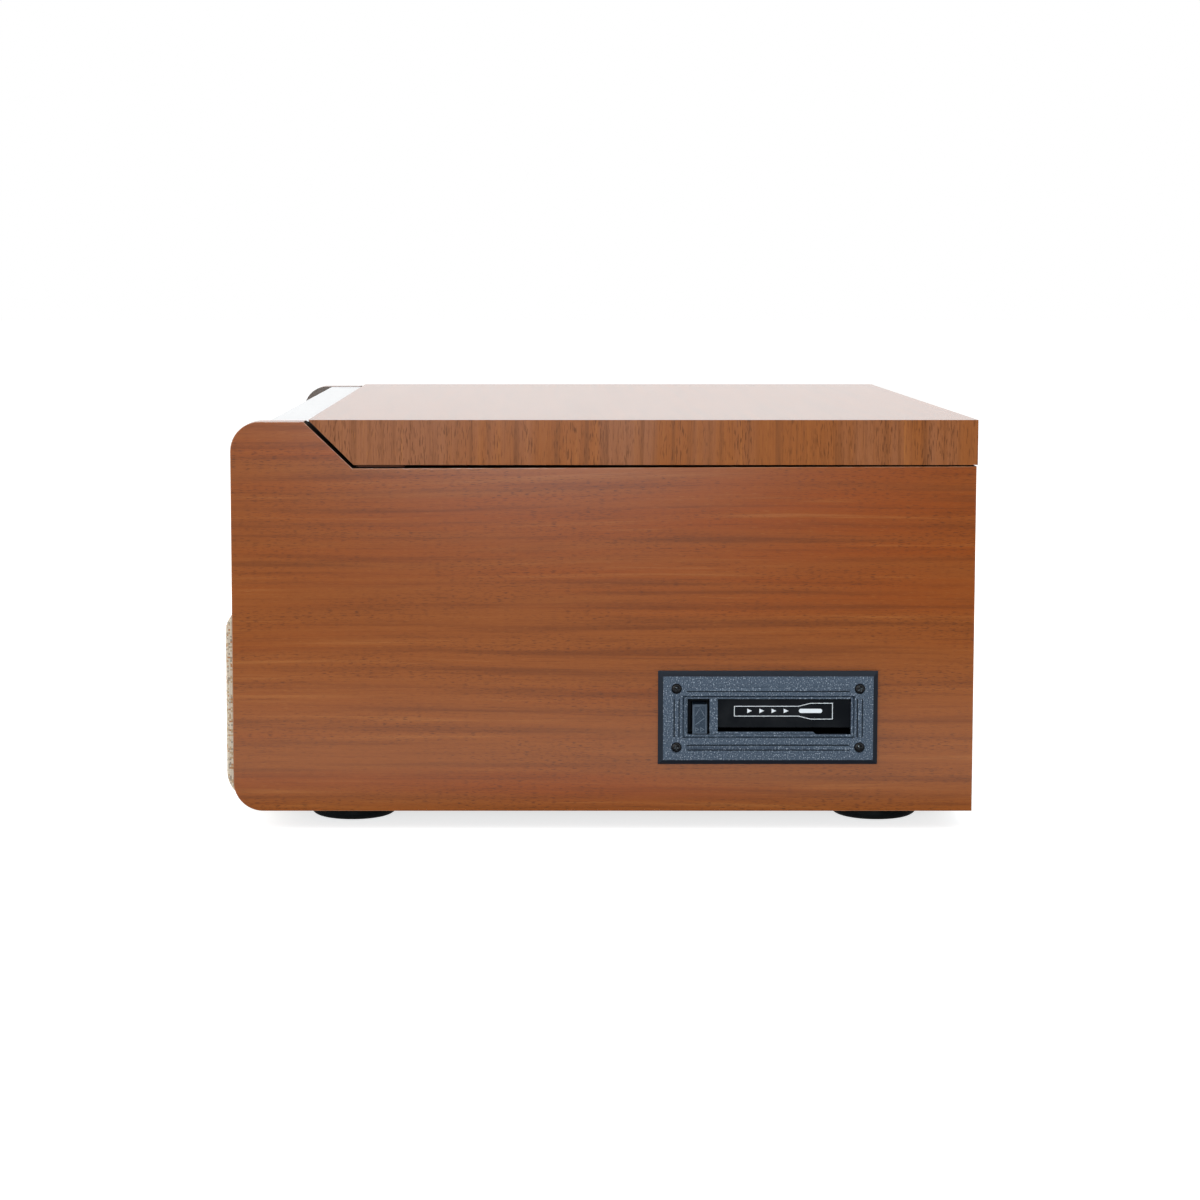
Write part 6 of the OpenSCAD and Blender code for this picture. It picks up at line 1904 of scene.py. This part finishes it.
@dataclass
class RearPanel:
    """The back board with its sockets, hinges and screws."""

    screw_x: float = 212.5
    screw_zs: tuple[float, ...] = (20.0, 85.0, 150.0)
    low_xs: tuple[float, ...] = (-120.0, 0.0, 120.0)
    low_z: float = 6.0
    foot_screw_drop: float = 4.0
    hinge_x: float = 130.0
    hinge_screw_dx: float = 16.0
    hinge_screw_dz: float = 13.0
    knuckle_r: float = 3.3
    leaf_t: float = 1.8
    phono_xs: tuple[float, ...] = (76.0, 92.0, 108.0, 124.0)
    phono_z: float = 43.0
    phono_r: float = 4.15
    phono_l: float = 8.0
    plate_t: float = 1.6
    plate_margin: Flat = (9.0, 14.0)
    box_inset: float = 5.2
    box_l: float = 14.0
    word_h: float = 3.6
    letter_h: float = 4.0
    ink: float = 0.08
    inlet: Flat = (-137.8, 42.2)
    pin_dx: float = 4.3

    def build(self) -> list[Piece]:
        """All pieces of the back."""
        return [self.board(), self.screws(), *self.hinges(), *self.phono(), *self.mains()]

    def board(self) -> Piece:
        """The painted back board with softened slots."""
        shape = Shape.copy_of("back_panel").soften(0.3, longer=5)
        return shape.finish("back_board", DARK_BOARD, "cabinet", "dark_board", ["back_panel"])

    def screws(self) -> Piece:
        """Screws of the back board and of the feet."""
        back = span("back_panel")[1].y
        places = [shift(side * self.screw_x, back, z) @ ON_BACK for side in (-1, 1) for z in self.screw_zs]
        places += [shift(x, back, self.low_z) @ ON_BACK for x in self.low_xs]
        low = span("feet")[0].z + self.foot_screw_drop
        places += [shift(x, y, low) @ Matrix.Rotation(math.pi, 4, "X") for x, y in Cabinet().foot_axes()]
        screw = Screw(3.2, 1.8, 1.6, shank=8.0)
        return screw.at(places).finish("board_screws", BRIGHT_STEEL, "cabinet", "hardware_steel",
                                       ["cabinet_screws"])

    def hinges(self) -> list[Piece]:
        """Hinge leaves, pins and the screws that hold the leaves."""
        pieces = [dress("hinge_pins", BRIGHT_STEEL)]
        for node, body, up in (("hinge_cabinet_leaves", "cabinet", -1), ("hinge_lid_leaves", "lid", 1)):
            low, high = span(node)
            shape = Shape.copy_of(node).soften(0.35, longer=5)
            pieces.append(shape.finish(node + "_soft", STEEL, body, "hardware_steel", [node]))
            back = span("lid_back_rail" if up > 0 else "back_panel")[1].y + self.leaf_t
            axis = high.z if up < 0 else low.z
            z = axis + up * self.hinge_screw_dz + up * self.knuckle_r
            places = [shift(side * self.hinge_x + dx, back - 0.1, z) @ ON_BACK for side in (-1, 1)
                      for dx in (-self.hinge_screw_dx, 0.0, self.hinge_screw_dx)]
            screw = Screw(2.7, 0.9, 1.4)
            pieces.append(screw.at(places).finish(node + "_screws", BRIGHT_STEEL, body, "hardware_steel"))
        return pieces

    def phono(self) -> list[Piece]:
        """Four phono sockets on a plate, with red and white cores and letters above them."""
        back = span("back_panel")[1].y
        z, inset = self.phono_z, self.box_inset
        dx, dz = self.plate_margin
        x0, x1 = self.phono_xs[0] - dx, self.phono_xs[-1] + dx
        plate = Shape.plate(rounded((-x1, z - dz), (-x0, z + dz), 3.0), self.plate_t).soften(0.5, 3)
        plate.join(Shape.block((-x1 + inset, z - dz + inset, -self.box_l),
                               (-x0 - inset, z + dz - inset, 0.2)))
        plate.moved(shift(0, back, 0) @ ON_BACK)
        pieces = [plate.finish("socket_plate", FRAME_BLACK, "cabinet", "chassis_plastic", ["rear_sockets"])]
        barrels, letters = Shape(), Shape()
        cores = {"white_cores": Shape(), "red_cores": Shape()}
        r, end = self.phono_r, self.plate_t + self.phono_l
        shell = [(r - 0.55, end - 0.2), (r - 0.3, end), (r, end - 0.25), (r, self.plate_t + 1.6),
                 (r + 1.3, self.plate_t + 1.6), (r + 1.3, self.plate_t), (r - 0.55, self.plate_t),
                 (r - 0.55, end - 0.2)]
        core = [(1.6, self.plate_t), (r - 0.55, self.plate_t), (r - 0.55, end - 0.7), (2.2, end - 0.7),
                (1.6, end - 1.2), (1.6, self.plate_t)]
        for i, x in enumerate(self.phono_xs):
            place = shift(x, back, z) @ ON_BACK
            barrels.join(Shape.turned(shell, 40).moved(place))
            cores["white_cores" if i % 2 == 0 else "red_cores"].join(Shape.turned(core, 40).moved(place))
            letter = Shape.letters("L" if i % 2 == 0 else "R", self.letter_h, self.ink)
            letters.join(letter.moved(place @ shift(0, 9.5, self.plate_t)))
        for x, words in ((84.0, "OUT"), (116.0, "IN")):
            place = shift(x, back, z - 10.0) @ ON_BACK @ shift(0, 0, self.plate_t)
            letters.join(Shape.letters(words, self.word_h, self.ink).moved(place))
        pieces.append(barrels.finish("phono_barrels", BRIGHT_STEEL, "cabinet", "socket_metal"))
        for name, finish in (("white_cores", WHITE_PLASTIC), ("red_cores", RED_PLASTIC)):
            pieces.append(cores[name].finish(name, finish, "cabinet", "chassis_plastic"))
        pieces.append(letters.finish("socket_letters", WHITE_INK, "cabinet", "scale_print"))
        return pieces

    def mains(self) -> list[Piece]:
        """The mains inlet with its two bright pins."""
        back = span("back_panel")[1].y
        shape = Shape.copy_of("rear_sockets")
        away = [v for v in shape.mesh.verts if v.co.x > 0]
        bmesh.ops.delete(shape.mesh, geom=away, context="VERTS")
        shape.soften(0.3, longer=5)
        pins = Shape()
        for dx in (-self.pin_dx, self.pin_dx):
            tip = arc((0.25, -2.0), (1.0, 0.8), 0, 90, 4)
            pin = Shape.turned([(0, -11.8), (1.25, -11.8), *tip, (0, -1.2)], 24)
            pins.join(pin.moved(shift(self.inlet[0] + dx, back, self.inlet[1]) @ ON_BACK))
        return [shape.finish("mains_inlet", FRAME_BLACK, "cabinet", "chassis_plastic"),
                pins.finish("inlet_pins", BRIGHT_STEEL, "cabinet", "socket_metal")]


@dataclass
class Inside:
    """Boards and supply, which show only through the slots."""

    def build(self) -> list[Piece]:
        """All pieces inside the cabinet."""
        return [dress("main_board", GREEN_BOARD), dress("power_transformer", IRON)]


def main() -> None:
    """Builds the studio and every sub-assembly, and reports each piece."""
    logging.basicConfig(level=logging.INFO, format="%(message)s")
    Studio().build()
    panel = FrontPanel()
    assemblies = (Cabinet(), Lid(), SpeakerFront(), panel, Dial(panel), DiscDrawer(), Turntable(), Tonearm(),
                  TapeDeck(), RearPanel(), Inside())
    for assembly in assemblies:
        for piece in assembly.build():
            LOG.info("%s: %s", type(assembly).__name__, piece.name)


if __name__ == "__main__":
    main()
